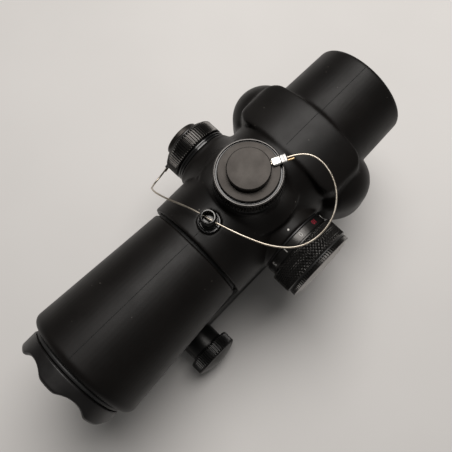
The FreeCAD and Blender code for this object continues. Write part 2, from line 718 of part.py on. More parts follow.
def battery_cap():
    thread = DIAL_THREAD_R - THREAD_GAP
    return spin([
        (28.1, 10.5), (28.1, thread), (BATTERY_CAP_FOOT, thread),
        (BATTERY_CAP_FOOT, BATTERY_CAP_R - 0.15), (BATTERY_CAP_FOOT + 0.15, BATTERY_CAP_R),
        (BATTERY_CAP_TOP - 0.2, BATTERY_CAP_R), (BATTERY_CAP_TOP, BATTERY_CAP_R - 0.2),
        (BATTERY_CAP_FACE, BATTERY_CAP_FACE_R), (BATTERY_CAP_FACE, 0), (29.75, 0), (29.75, 10.5),
    ])


def battery_seal():
    inner = DIAL_THREAD_R - THREAD_GAP
    return spin([(30.03, inner), (30.03, 12.2), (30.37, 12.2), (30.37, inner)])


def led_holder():
    plate = cylinder((0, 0, 1), 6.0, 14.2, 15.6)
    lamp = cylinder((0, 0, 1), 1.5, 12.4, 14.2).fuse(Part.makeSphere(1.5, Vector(0, 0, 12.4)))
    return plate.fuse(lamp)


def dial_parts():
    solids = {
        "illumination_base": dial_base(),
        "illumination_dial": dial_ring(),
        "dial_clip": dial_clip(),
        "battery": battery(),
        "battery_contact": battery_contact(),
        "battery_cap": battery_cap(),
        "battery_seal": battery_seal(),
        "led_holder": led_holder(),
    }
    return {name: to_left(shape) for name, shape in solids.items()}


# ---------------------------------------------------------------- hood ring


def hood_ring():
    ring = spin_x([
        (68.5, HOOD_BORE_R), (68.5, HOOD_SKIRT_R), (74.2, HOOD_SKIRT_R), (74.2, HOOD_NECK_R),
        (HOOD_REAR, HOOD_NECK_R), (HOOD_REAR, HOOD_R - 0.4), (HOOD_REAR + 0.4, HOOD_R),
        (HOOD_FRONT - 1.0, HOOD_R),
        ("arc", (HOOD_FRONT - 0.3, HOOD_R - 0.3), (HOOD_FRONT, HOOD_R - 1.0)),
        (HOOD_FRONT, 15.9), (78.0, HOOD_BORE_R),
    ])
    centre_x = HOOD_FRONT - SCALLOP_DEPTH + SCALLOP_R
    cuts = []
    for n in range(SCALLOPS):
        turn = math.radians(30 + 60 * n)
        outward = (0, math.sin(turn), math.cos(turn))
        cuts.append(cylinder(outward, SCALLOP_R, 8.0, 30.0, (centre_x, 0, 0)))
    return ring.cut(cuts)


def hood_seal():
    ring = Part.makeTorus(HOOD_NECK_R + 0.82, 0.8)
    ring.rotate(Vector(0, 0, 0), Vector(0, 1, 0), 90)
    ring.translate(Vector(75.4, 0, 0))
    return ring


# ---------------------------------------------------------------- rail mount


def rail_section():
    """The standard accessory rail's head, which the mount closes on."""
    top = -AXIS_HEIGHT
    flat_top = top - RAIL_UPPER_FLANK
    flat_low = flat_top - RAIL_FLAT
    neck = flat_low - (RAIL_HALF - RAIL_TOP_HALF)
    low = top - JAW_DEPTH - 1
    left = [(RAIL_TOP_HALF, top), (RAIL_HALF, flat_top), (RAIL_HALF, flat_low),
            (RAIL_TOP_HALF, neck), (RAIL_TOP_HALF, low)]
    right = [(-y, z) for y, z in reversed(left)]
    return left + right


def mount_base():
    """Seat, pillar and fixed jaw in one piece."""
    top = -AXIS_HEIGHT
    low = top - JAW_DEPTH
    section = [
        (FOOT_LEFT, top), (FOOT_LEFT, MOUNT_FOOT_TOP - 1.5), (FOOT_LEFT - 1.5, MOUNT_FOOT_TOP),
        (MOUNT_PILLAR_HALF, MOUNT_FOOT_TOP + 2.5), (MOUNT_PILLAR_HALF, PAD_BOTTOM),
        (-MOUNT_PILLAR_HALF, PAD_BOTTOM), (-MOUNT_PILLAR_HALF, MOUNT_FOOT_TOP + 2.5),
        (-FIXED_SIDE + 1.5, MOUNT_FOOT_TOP), (-FIXED_SIDE, MOUNT_FOOT_TOP - 1.5),
        (-FIXED_SIDE, low + 1.0), (-FIXED_SIDE + 1.0, low), (-RAIL_TOP_HALF, low),
        (-RAIL_TOP_HALF, top),
    ]
    base = extrude_section(section, MOUNT_REAR, MOUNT_FRONT)
    base = base.cut(extrude_section(rail_section(), MOUNT_REAR - 1, MOUNT_FRONT + 1))
    for x in (MOUNT_REAR, MOUNT_FRONT):
        side = 1 if x == MOUNT_FRONT else -1
        base = base.cut(end_bevel(x, side))
    holes = []
    for _, x in BOLT_STATIONS:
        holes.append(cylinder((0, 1, 0), BOLT_R + 0.1, -20, 20, (x, 0, top - BOLT_DROP)))
        holes.append(cylinder((0, 1, 0), 4.6, -FIXED_SIDE - 1, -FIXED_SIDE + 1.6,
                              (x, 0, top - BOLT_DROP)))
    for x in MOUNT_SCREW_X:
        holes.append(cylinder((0, 0, 1), MOUNT_SCREW_R + 0.2, top - 1, PAD_BOTTOM + 1, (x, 0, 0)))
        holes.append(cylinder((0, 0, 1), 4.4, top - 1, top + 4.2, (x, 0, 0)))
    return base.cut(holes)


def end_bevel(x, side):
    """A wedge that bevels the upper corner of the mount's end."""
    depth = 5.0
    points = [(x + side, PAD_BOTTOM - 4.0), (x - side * depth, PAD_BOTTOM + 1.0),
              (x + side, PAD_BOTTOM + 1.0)]
    wire = outline_wire(points, lambda p: Vector(p[0], -EVERYTHING / 2, p[1]))
    return Part.Face(wire).extrude(Vector(0, EVERYTHING, 0))


def clamp_jaw():
    """The moving jaw: an outside plate with a hook under the rail's left edge."""
    top = -AXIS_HEIGHT
    low = top - JAW_DEPTH
    section = [
        (JAW_INNER, MOUNT_FOOT_TOP - 1.2), (JAW_OUTER - 1.2, MOUNT_FOOT_TOP - 1.2),
        (JAW_OUTER, MOUNT_FOOT_TOP - 2.4), (JAW_OUTER, low + 1.2), (JAW_OUTER - 1.2, low),
        (RAIL_TOP_HALF, low), (RAIL_TOP_HALF, top - 0.4), (JAW_INNER, top - 0.4),
    ]
    jaw = extrude_section(section, MOUNT_REAR + 2, MOUNT_FRONT - 2)
    jaw = jaw.cut(extrude_section(rail_section(), MOUNT_REAR, MOUNT_FRONT))
    holes = [cylinder((0, 1, 0), BOLT_R + 0.1, 0, 30, (x, 0, top - BOLT_DROP))
             for _, x in BOLT_STATIONS]
    return jaw.cut(holes)


def clamp_bolt(x):
    height = -AXIS_HEIGHT - BOLT_DROP
    shank = cylinder((0, 1, 0), BOLT_R, -FIXED_SIDE + 1.5, 25.4, (x, 0, height))
    head = cylinder((0, 1, 0), 4.5, -FIXED_SIDE - 0.2, -FIXED_SIDE + 1.6, (x, 0, height))
    slot = block(x - 5, x + 5, -FIXED_SIDE - 1, -FIXED_SIDE + 0.6, height - 0.6, height + 0.6)
    return shank.fuse(head).cut(slot)


def thumb_nut(x):
    """A domed head with a grip, a narrower neck and a blind threaded hole."""
    half = NUT_DOME_R / 2
    dome_middle = NUT_END - sphere_depth(NUT_END - NUT_HEAD_END - 0.3, NUT_DOME_R, half)
    nut = to_left(spin([
        (JAW_OUTER + 0.05, BOLT_R + 0.08), (JAW_OUTER + 0.05, NUT_NECK_R - 0.3),
        (JAW_OUTER + 0.35, NUT_NECK_R), (NUT_HEAD_START, NUT_NECK_R),
        (NUT_HEAD_START, NUT_R - 0.5), (NUT_HEAD_START + 0.5, NUT_R), (NUT_HEAD_END, NUT_R),
        (NUT_HEAD_END + 0.3, NUT_DOME_R),
        ("arc", (dome_middle, half), (NUT_END, 0)), (25.6, 0),
        (25.6, BOLT_R + 0.08),
    ]))
    nut.translate(Vector(x, 0, -AXIS_HEIGHT - BOLT_DROP))
    return nut


def mount_screws():
    screws = []
    for x in MOUNT_SCREW_X:
        head = cylinder((0, 0, 1), 4.3, -AXIS_HEIGHT + 0.6, -AXIS_HEIGHT + 4.2, (x, 0, 0))
        shank = cylinder((0, 0, 1), MOUNT_SCREW_R, -AXIS_HEIGHT + 4.2, -15.0, (x, 0, 0))
        socket = cylinder((0, 0, 1), 1.8, -AXIS_HEIGHT, -AXIS_HEIGHT + 2.8, (x, 0, 0))
        screws.append(head.fuse(shank).cut(socket))
    return Part.makeCompound(screws)


def mount_parts():
    solids = {"mount_base": mount_base(), "clamp_jaw": clamp_jaw(), "mount_screws": mount_screws()}
    for name, x in BOLT_STATIONS:
        solids["clamp_bolt_" + name] = clamp_bolt(x)
        solids["thumb_nut_" + name] = thumb_nut(x)
    return solids


# ---------------------------------------------------------------- assembly


def housing_parts():
    core = housing_core()
    centre = centre_skin()
    return {
        "housing": core.cut(housing_bores()),
        "armour_rear": armour(rear_skin().cut(centre), core),
        "armour_centre": armour(centre, core),
        "armour_front": armour(front_skin(), core),
    }


def all_parts():
    solids = {}
    solids.update(housing_parts())
    solids.update(objective_parts())
    solids.update(eyepiece_parts())
    solids.update(prism_parts())
    solids["gimbal_ring"] = gimbal_ring()
    solids["gimbal_pins"] = gimbal_pins()
    solids.update(turret_parts("elevation", to_top, ELEVATION_TAIL_DEG))
    solids.update(turret_parts("windage", to_right, WINDAGE_TAIL_DEG))
    solids["tether_post"] = tether_post()
    solids["tether_washer"] = tether_washer()
    solids["tether_wire_elevation"] = wire_tube("tether_wire_elevation", ELEVATION_ROUTE)
    solids["tether_wire_windage"] = wire_tube("tether_wire_windage", WINDAGE_ROUTE)
    solids.update(dial_parts())
    solids["hood_ring"] = hood_ring()
    solids["hood_seal"] = hood_seal()
    solids.update(mount_parts())
    return solids


def main():
    os.makedirs("parts", exist_ok=True)
    for name, shape in all_parts().items():
        shape.translate(Vector(0, 0, AXIS_HEIGHT))
        shape.exportStep("parts/" + name + ".step")
        print(name, shape.isValid(), len(shape.Solids), round(shape.Volume, 1))


main()
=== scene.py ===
import functools
import json
import math

import bmesh
import bpy
from mathutils import Matrix, Vector


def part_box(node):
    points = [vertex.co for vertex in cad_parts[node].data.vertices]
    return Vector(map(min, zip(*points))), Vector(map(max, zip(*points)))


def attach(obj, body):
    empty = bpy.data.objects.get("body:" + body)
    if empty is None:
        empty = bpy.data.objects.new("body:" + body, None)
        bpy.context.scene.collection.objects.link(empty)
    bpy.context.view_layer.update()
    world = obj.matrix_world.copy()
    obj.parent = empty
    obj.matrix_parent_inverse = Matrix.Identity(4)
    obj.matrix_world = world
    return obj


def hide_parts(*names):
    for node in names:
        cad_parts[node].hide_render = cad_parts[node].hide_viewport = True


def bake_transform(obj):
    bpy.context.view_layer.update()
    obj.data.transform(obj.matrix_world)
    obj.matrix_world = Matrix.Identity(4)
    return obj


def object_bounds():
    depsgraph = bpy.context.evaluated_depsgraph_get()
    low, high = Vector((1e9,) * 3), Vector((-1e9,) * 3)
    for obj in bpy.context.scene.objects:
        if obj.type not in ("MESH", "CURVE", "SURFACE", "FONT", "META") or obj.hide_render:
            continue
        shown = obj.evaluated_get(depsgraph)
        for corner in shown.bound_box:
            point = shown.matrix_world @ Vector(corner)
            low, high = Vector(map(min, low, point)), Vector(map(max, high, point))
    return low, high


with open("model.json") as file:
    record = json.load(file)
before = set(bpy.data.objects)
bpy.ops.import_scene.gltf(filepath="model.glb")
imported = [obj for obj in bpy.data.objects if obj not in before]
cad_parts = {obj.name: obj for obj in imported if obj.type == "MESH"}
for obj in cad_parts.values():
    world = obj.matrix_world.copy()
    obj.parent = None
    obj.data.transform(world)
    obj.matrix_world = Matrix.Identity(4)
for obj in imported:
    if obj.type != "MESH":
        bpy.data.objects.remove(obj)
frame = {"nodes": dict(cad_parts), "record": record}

MM = 0.001

# Places that the frame gives, in metres.
CAD_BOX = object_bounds()
HOOD_LOW, HOOD_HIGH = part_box("hood_ring")
AXIS_Z = (HOOD_LOW.z + HOOD_HIGH.z) / 2
FLOOR_Z = CAD_BOX[0][2]

# Local frames: a turned piece is made along its own +Z, in millimetres from the optical axis.
# Its profile is a list of corners, each a height along +Z, a radius and the rounding of the corner.
SCALE = Matrix.Scale(MM, 4)
LIFT = Matrix.Translation((0, 0, AXIS_Z))
UP = LIFT @ SCALE
RIGHT = LIFT @ Matrix.Rotation(math.radians(90), 4, "X") @ SCALE
LEFT = LIFT @ Matrix.Rotation(math.radians(-90), 4, "X") @ SCALE
FORWARD = LIFT @ Matrix.Rotation(math.radians(90), 4, "Y") @ SCALE

# A point nearer to the axis than ON_AXIS counts as on it, and an arc takes no more than RUN_SHARE of
# the run on either side of its corner.
ON_AXIS = 1e-6
RUN_SHARE = 0.49

# Segments round the turned pieces that have no ridges, and where the post stands.
BASE_SEGMENTS = 128
BAND_SEGMENTS = 128
POST_SEGMENTS = 72
HOOD_SEGMENTS = 288
DOT_SEGMENTS = 24
POST_X = 16.8

# Tether wires, in millimetres with heights from the optical axis.
WIRE_R = 0.3
STRANDS = 6
STRAND_PITCH = 3.6
STRAND_DEPTH = 0.14
ROPE_SIDES = 18
ROPE_STEP = 0.3
ELEVATION_ROUTE = [
    (-10.16, 5.06, 29.5), (-13.3, 6.6, 29.5), (-16.2, 10.2, 29.2), (-16.3, 15.6, 28.4),
    (-13.6, 21.4, 27.3), (-8.2, 25.6, 26.2), (-1.2, 26.8, 25.0), (5.4, 24.7, 24.0),
    (10.2, 19.0, 23.0), (13.1, 12.0, 22.3), (15.4, 5.0, 22.05), (16.72, 0.0, 22.0),
]
WINDAGE_ROUTE = [
    (16.72, 0.0, 22.0), (17.4, -4.0, 21.4), (18.9, -9.6, 19.4), (20.4, -15.2, 16.4),
    (20.9, -20.4, 12.0), (20.0, -23.8, 6.3), (19.3, -26.0, 0.4), (18.6, -27.6, -4.5),
    (16.5, -29.1, -7.4), (13.0, -29.5, -7.69), (9.77, -29.5, -5.78),
]

# Loop round the neck of each cap, and the angle at which its crimps stand out.
LOOP_Z = 29.5
LOOP_R = 5.5
LOOP_STEPS = 110
LOOP_WIRE_R = WIRE_R * 0.95
ELEVATION_TAIL = math.radians(153.5)
WINDAGE_TAIL = math.radians(-30.6)

# What stands out from a loop: where each thing starts and ends, counted from the cap's axis, how far
# the strands and the cut end lie beside the middle line, and half the width and thickness of a crimp.
STRAND_SPAN = (LOOP_R, 6.95)
STRAND_OFFSET = 0.32
CUT_END_SPAN = (11.2, 13.25)
CUT_END_OFFSET = -0.85
FERRULE_SPAN = (6.9, 9.4)
FERRULE_HALF = (1.3, 0.45)
SLEEVE_SPAN = (9.4, 11.3)
SLEEVE_HALF = (1.38, 0.4)

# Crimps: places and width of the dents as shares of the length, and how much of the section the dents
# and the closed ends take away. The powers flatten the sides of the section.
FERRULE_DENTS = (0.3, 0.68)
SLEEVE_DENTS = (0.5,)
DENT_WIDTH = 0.09
DENT_DEPTH = 0.16
CRIMP_CLOSE = 0.16
CRIMP_POWERS = (0.55, 0.7)
CRIMP_LIFT = 0.08
CRIMP_SIDES = 32
CRIMP_STATIONS = 24

# Camera: place in metres, turn in degrees, lens and sensor in millimetres.
CAMERA_PLACE = Vector((0.0401, 0.0381, 0.2235))
CAMERA_TURN = (13.80, 1.995, 134.38)
CAMERA_LENS = 47.8
SENSOR = 36.0

# Knurling: how many ridges go round each grip, how deep they are, how many segments make one ridge,
# its flat top and flanks as shares of the ridge, and how far the ridges fade out at their ends.
CAP_KNURLS = 72
DIAL_KNURLS = 66
BATTERY_KNURLS = 88
NUT_KNURLS = 56
KNURL_DEPTH = 0.42
KNURL_SEGMENTS = 8
RIDGE_TOP = 0.3
RIDGE_FLANK = 0.45
RIDGE_FADE = 0.25
DIAMOND_TOP = 0.25
DIAMOND_FADE = 0.2

# Dial figures: they stand evenly round the collar, and the last one is red. FIGURE_EDGE is the longest
# edge that is left when a figure is bent round the collar.
FIGURES = 11
FIGURE_SIZE = 2.125
FIGURE_RAISE = 0.05
FIGURE_GAP = 0.02
FIGURE_EDGE = 0.3
FIGURE_Y = 21.35
COLLAR_R = 11.8
ZERO_DEG = -3.0

# Painted dot that the figures are read against.
INDEX_DEG = 4.6
INDEX_R = 12.3
INDEX_Y = 17.6

# Hood ring: its scallops reach from the front edge back to SCALLOP_BACK.
SCALLOPS = 6
SCALLOP_R = 8.1
SCALLOP_DEPTH = 2.2
SCALLOP_SOFTNESS = 0.5
SCALLOP_BACK = 77.6
HOOD_FRONT = 82.45

# Domed end of each thumb nut: radius of its rim, height of the dome, and where the dome starts.
DOME_R = 8.2
DOME_RISE = 1.8
DOME_BASE = 26.3
DOME_STEPS = 10

# Rubber armour: voxel size and steps of smoothing. The zone round the prism bulge takes more of them.
RUBBER_VOXEL = 0.36
RUBBER_CREASE = 60
REAR_STEPS = 6
FRONT_STEPS = 4
BAND_ZONE = (-36.0, -10.0)
BAND_STEPS = 34
ZONE_FADE = 1.5
FILLER_R = 2.1
FILLERS = [(-15.2, side * 12.0, 12.0) for side in (-1, 1)]

# Mould seams: width, height over the rubber, depth of the foot in it, and distance between sections.
SEAM_WIDTH = 0.34
SEAM_HEIGHT = 0.07
SEAM_SINK = 0.08
SEAM_STEP = 0.5

# Rays that look for the top of the rubber start this far up, in metres.
RAY_HEIGHT = 1.0

# Pitch of the fine rings on turned metal, in metres.
RING_PITCH = 0.00022

# Stage: half the floor's side and the lamp's places and size in metres, its power in watts.
FLOOR_SIZE = 3.0
WORLD_STRENGTH = 0.12
LAMP_PLACE = (-0.17, -0.11, 0.5)
LAMP_TARGET = (-0.03, -0.03, 0)
LAMP_SIZE = 0.42
LAMP_POWER = 3.1


# ---------------------------------------------------------------- meshes


def row_point(x, y, z):
    """A point of the frame, from millimetres with the height counted from the optical axis."""
    return Vector((x * MM, y * MM, z * MM + AXIS_Z))


def add_object(name, mesh):
    obj = bpy.data.objects.new(name, mesh)
    bpy.context.scene.collection.objects.link(obj)
    return obj


def finish_mesh(obj, crease_deg=32):
    """Smooth shading with sharp edges where the surface turns more than crease_deg."""
    obj.data.shade_smooth()
    obj.data.set_sharp_from_angle(angle=math.radians(crease_deg))
    return obj


def mesh_object(name, verts, faces, place=None):
    mesh = bpy.data.meshes.new(name)
    mesh.from_pydata([tuple(v) for v in verts], [], faces)
    if place is not None:
        mesh.transform(place)
    mesh.update()
    return finish_mesh(add_object(name, mesh))


def ring_faces(rings, sides, joined):
    """Faces from each ring of points to the next, and from the last to the first if joined."""
    faces = []
    for i in range(rings if joined else rings - 1):
        j = (i + 1) % rings
        for s in range(sides):
            t = (s + 1) % sides
            faces.append((i * sides + s, i * sides + t, j * sides + t, j * sides + s))
    return faces


def end_faces(rings, sides):
    """A flat face over the first ring and over the last."""
    last = (rings - 1) * sides
    return [tuple(reversed(range(sides))), tuple(range(last, last + sides))]


def rounded(corners, steps=4):
    """A profile of (height, radius, rounding) corners, with an arc in place of each rounded corner."""
    points = []
    count = len(corners)
    for i, (h, r, size) in enumerate(corners):
        here = Vector((h, r))
        if size == 0 or i == 0 or i == count - 1:
            points.append(here)
            continue
        back = Vector(corners[i - 1][:2]) - here
        ahead = Vector(corners[i + 1][:2]) - here
        half = back.angle(ahead) / 2
        reach = min(size / math.tan(half), RUN_SHARE * back.length, RUN_SHARE * ahead.length)
        radius = reach * math.tan(half)
        inward = (back.normalized() + ahead.normalized()).normalized()
        centre = here + inward * (radius / math.sin(half))
        start = here + back.normalized() * reach - centre
        end = here + ahead.normalized() * reach - centre
        turn = start.angle_signed(end)
        for k in range(steps + 1):
            spin = Matrix.Rotation(-turn * k / steps, 2)
            points.append(centre + spin @ start)
    return points


def denser(points, longest, low, high, least_r):
    """Divides the runs of a profile between two heights and outside a radius, so that none of them is
    longer than longest."""
    out = [points[0]]
    for a, b in zip(points, points[1:]):
        inside = low <= (a[0] + b[0]) / 2 <= high and min(a[1], b[1]) >= least_r
        parts = max(1, math.ceil((b - a).length / longest)) if inside else 1
        out += [a.lerp(b, k / parts) for k in range(1, parts + 1)]
    return out


def lathe(name, points, place, segments, shape=None):
    """Turns a profile round the local Z axis. shape(angle, height, radius) may move each point.

    A profile that starts and ends on the axis makes a closed surface, and any other is joined
    from its last point to its first."""
    on_axis = max(points[0][1], points[-1][1]) < ON_AXIS
    inner = points[1:-1] if on_axis else points
    rings = len(inner)
    verts = []
    for h, r in inner:
        for s in range(segments):
            angle = 2 * math.pi * s / segments
            height, radius = shape(angle, h, r) if shape else (h, r)
            verts.append((radius * math.cos(angle), radius * math.sin(angle), height))
    faces = ring_faces(rings, segments, not on_axis)
    if on_axis:
        for end, ring in ((points[0], 0), (points[-1], rings - 1)):
            pole = len(verts)
            verts.append((0, 0, end[0]))
            for s in range(segments):
                faces.append((pole, ring * segments + s, ring * segments + (s + 1) % segments))
    obj = mesh_object(name, verts, faces, place)
    bm = bmesh.new()
    bm.from_mesh(obj.data)
    bmesh.ops.recalc_face_normals(bm, faces=bm.faces)
    bm.to_mesh(obj.data)
    bm.free()
    return finish_mesh(obj)


def ramp(value, low, high, blend):
    """1 between low and high, falling to 0 over blend outside of them."""
    inside = min(value - low, high - value)
    return min(1.0, max(0.0, 1.0 + inside / blend))


def straight_knurl(count, depth, low, high, least_r):
    """Ridges along the axis with flat tops, on the wall between two heights."""
    def shape(angle, h, r):
        if r < least_r:
            return h, r
        wave = abs(((angle * count / (2 * math.pi)) % 1.0) - 0.5) * 2
        groove = min(1.0, max(0.0, (wave - RIDGE_TOP) / RIDGE_FLANK))
        return h, r - depth * groove * ramp(h, low, high, RIDGE_FADE)
    return shape


def diamond_knurl(count, depth, low, high, least_r):
    """Two crossing sets of spiral grooves, which leave diamonds with small flat tops."""
    def shape(angle, h, r):
        if r < least_r:
            return h, r
        along = (h - low) * count / (2 * math.pi * r)
        around = angle * count / (2 * math.pi)
        first = abs(((around + along) % 1.0) - 0.5) * 2
        second = abs(((around - along) % 1.0) - 0.5) * 2
        groove = max(0.0, (max(first, second) - DIAMOND_TOP) / (1 - DIAMOND_TOP))
        return h, r - depth * groove * ramp(h, low, high, DIAMOND_FADE)
    return shape


def bake(obj):
    """Applies the modifiers of a piece."""
    depsgraph = bpy.context.evaluated_depsgraph_get()
    baked = bpy.data.meshes.new_from_object(obj.evaluated_get(depsgraph))
    obj.modifiers.clear()
    obj.data = baked
    baked.materials.clear()


def smooth(obj, steps, group=""):
    """Adds a smoothing of so many steps, on the whole piece or on a vertex group."""
    modifier = obj.modifiers.new("smooth", "SMOOTH")
    modifier.factor = 0.5
    modifier.iterations = steps
    modifier.vertex_group = group


def softened(name, nodes, steps, zone=None, zone_steps=0, fillers=()):
    """One piece from the CAD meshes of some nodes, remeshed and smoothed so that its edges are round.

    Between the two ends of a zone along X, it is smoothed by more steps. A filler is the centre of a
    ball that fills a hollow where faces meet."""
    bm = bmesh.new()
    for node in nodes:
        bm.from_mesh(frame["nodes"][node].data)
    for place in fillers:
        bmesh.ops.create_icosphere(bm, subdivisions=3, radius=FILLER_R * MM,
                                   matrix=Matrix.Translation(row_point(*place)))
    mesh = bpy.data.meshes.new(name)
    bm.to_mesh(mesh)
    bm.free()
    obj = add_object(name, mesh)
    remesh = obj.modifiers.new("remesh", "REMESH")
    remesh.mode = "VOXEL"
    remesh.voxel_size = RUBBER_VOXEL * MM
    smooth(obj, steps)
    bake(obj)
    if zone:
        group = obj.vertex_groups.new(name="zone")
        for vert in obj.data.vertices:
            share = ramp(vert.co.x / MM, zone[0], zone[1], ZONE_FADE)
            group.add([vert.index], share, "REPLACE")
        smooth(obj, zone_steps, "zone")
        bake(obj)
        obj.vertex_groups.clear()
    return finish_mesh(obj, RUBBER_CREASE)


def bevelled(name, node, width):
    """A copy of a flat-sided CAD node with rounded edges."""
    bm = bmesh.new()
    bm.from_mesh(frame["nodes"][node].data)
    bmesh.ops.remove_doubles(bm, verts=bm.verts, dist=0.01 * MM)
    bmesh.ops.dissolve_limit(bm, angle_limit=math.radians(1.0), verts=bm.verts, edges=bm.edges)
    mesh = bpy.data.meshes.new(name)
    bm.to_mesh(mesh)
    bm.free()
    obj = add_object(name, mesh)
    bevel = obj.modifiers.new("bevel", "BEVEL")
    bevel.width = width * MM
    bevel.segments = 3
    bevel.limit_method = "ANGLE"
    bevel.angle_limit = math.radians(30)
    bake(obj)
    return finish_mesh(obj)


def paint_zone(piece, place, mat, heights, radii):
    """Gives a second material to the faces between two heights and two radii of a turned piece."""
    piece.data.materials.append(mat)
    index = len(piece.data.materials) - 1
    back = place.inverted()
    for polygon in piece.data.polygons:
        spot = back @ polygon.center
        r = math.hypot(spot.x, spot.y)
        if heights[0] <= spot.z <= heights[1] and radii[0] <= r <= radii[1]:
            polygon.material_index = index


def dress(piece, body, slot, mat, *nodes):
    """Puts a piece on its body with its material, in place of CAD nodes if any are given. slot is not
    used.
    """
    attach(piece, body)
    piece.data.materials.append(mat)
    if nodes:
        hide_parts(*nodes)


# ---------------------------------------------------------------- rubber armour


def top_of(surface, x, y):
    """The place and the normal of the highest point of a piece over x and y, all in metres."""
    _, place, normal, _ = surface.ray_cast(Vector((x, y, RAY_HEIGHT)), Vector((0, 0, -1)))
    return place, normal


def seam_line(name, surface, x0, x1):
    """The raised mould line along the top of a rubber piece, laid on its surface."""
    verts = []
    count = int((x1 - x0) / SEAM_STEP)
    for i in range(count + 1):
        x = (x0 + (x1 - x0) * i / count) * MM
        place, _ = top_of(surface, x, 0)
        foot = place.z - SEAM_SINK * MM
        crest = place.z + SEAM_HEIGHT * MM
        for y, z in ((-1 / 2, foot), (-1 / 6, crest), (1 / 6, crest), (1 / 2, foot)):
            verts.append((x, y * SEAM_WIDTH * MM, z))
    faces = ring_faces(count + 1, 4, False) + end_faces(count + 1, 4)
    # The seam's darker rubber is painted shade along the raised line.
    dress(mesh_object(name, verts, faces), "sight", "armour_rubber", seam_material())


def make_index_dot(surface):
    """The painted dot on the dial's boss that the figures are read against."""
    x = INDEX_R * math.sin(math.radians(INDEX_DEG)) * MM
    place, normal = top_of(surface, x, INDEX_Y * MM)
    up = normal.to_track_quat("Z", "Y").to_matrix().to_4x4()
    profile = rounded([(-0.15, 0, 0), (-0.15, 0.34, 0), (0.06, 0.34, 0.04), (0.06, 0, 0)])
    dot = lathe("index_dot", profile, Matrix.Translation(place) @ up @ SCALE, DOT_SEGMENTS)
    dress(dot, "sight", "dial_black", paint_material("index_white", (0.72, 0.7, 0.66)))


def make_armour():
    rear_nodes = ("armour_rear", "armour_centre")
    rear = softened("rubber_rear", rear_nodes, REAR_STEPS, BAND_ZONE, BAND_STEPS, FILLERS)
    dress(rear, "sight", "armour_rubber", rubber_material(), *rear_nodes)
    front = softened("rubber_front", ("armour_front",), FRONT_STEPS)
    dress(front, "sight", "armour_rubber", rubber_material(), "armour_front")
    # A dark rubber ring sunk in the groove between the front armour and the centre: painted shade in
    # the groove.
    profile = rounded([(23.3, 16.0, 0), (23.3, 16.6, 0), (25.2, 16.6, 0), (25.2, 16.0, 0)])
    band = lathe("groove_band", profile, FORWARD, BAND_SEGMENTS)
    dress(band, "sight", "armour_rubber", seam_material())
    seam_line("seam_front", front, 25.6, 72.8)
    seam_line("seam_eyepiece", rear, -52.9, -16.5)
    seam_line("seam_centre", rear, 20.8, 23.2)
    make_index_dot(rear)


# ---------------------------------------------------------------- turrets


def cap_profile():
    return rounded([
        (27.1, 0, 0), (27.1, 8.68, 0), (22.75, 8.68, 0.1), (22.75, 9.9, 0.1), (23.1, 10.3, 0.12),
        (27.75, 10.3, 0.15), (28.2, 9.98, 0.1), (28.2, 9.7, 0.06), (27.5, 9.66, 0.1),
        (27.5, 9.09, 0.1), (28.8, 9.05, 0.1), (29.0, 8.85, 0.08), (29.0, 5.0, 0), (29.95, 5.0, 0),
        (29.95, 6.25, 0.08), (30.1, 6.4, 0.08), (31.35, 6.4, 0.1), (31.6, 6.15, 0.12), (31.6, 0, 0),
    ])


def base_profile():
    return rounded([
        (12.7, 3.1, 0), (12.7, 7.5, 0), (20.8, 7.5, 0), (20.8, 10.0, 0.1), (21.0, 10.22, 0.12),
        (21.55, 10.22, 0.1), (21.6, 9.9, 0.08), (21.8, 9.9, 0.08), (21.85, 10.22, 0.12),
        (22.35, 10.22, 0.15), (22.6, 9.9, 0.12), (22.6, 8.05, 0.05), (23.3, 8.05, 0.05),
        (23.5, 8.6, 0.05), (26.5, 8.6, 0.1), (26.9, 8.2, 0.1), (26.9, 6.2, 0.1), (17.0, 6.2, 0),
        (17.0, 3.1, 0),
    ])


def make_turret(name, place, axes, centre):
    """A knurled cap and the base under it. axes and centre say where the rings of its metal lie."""
    cap_points = denser(cap_profile(), 0.5, 23.0, 28.0, 10.0)
    knurl = straight_knurl(CAP_KNURLS, KNURL_DEPTH, 23.35, 27.55, 10.0)
    cap = lathe(name + "_cap_turned", cap_points, place, CAP_KNURLS * KNURL_SEGMENTS, knurl)
    dress(cap, name + "_cap", "cap_anodised", cap_metal(name, centre, axes), name + "_cap")
    # The groove between the cap's rim and its face is gloss black, darker than the cap: painted shade
    # in the groove.
    paint_zone(cap, place, gloss_black(), (27.3, 28.75), (9.0, 9.72))
    # The rim's lip is lighter metal than the cap: a painted highlight on the rim's edge.
    paint_zone(cap, place, rim_metal(), (27.6, 28.4), (9.72, 10.4))
    # The knurled wall is lighter metal than the cap: a painted highlight on the ridges.
    paint_zone(cap, place, ridge_metal(), (22.5, 27.6), (9.7, 10.4))
    base = lathe(name + "_base_turned", base_profile(), place, BASE_SEGMENTS)
    dress(base, "sight", "black_anodised", gloss_black(), name + "_base")


def make_turrets():
    make_turret("elevation", UP, "XY", (0, 0, 0))
    make_turret("windage", RIGHT, "XZ", (0, 0, AXIS_Z))


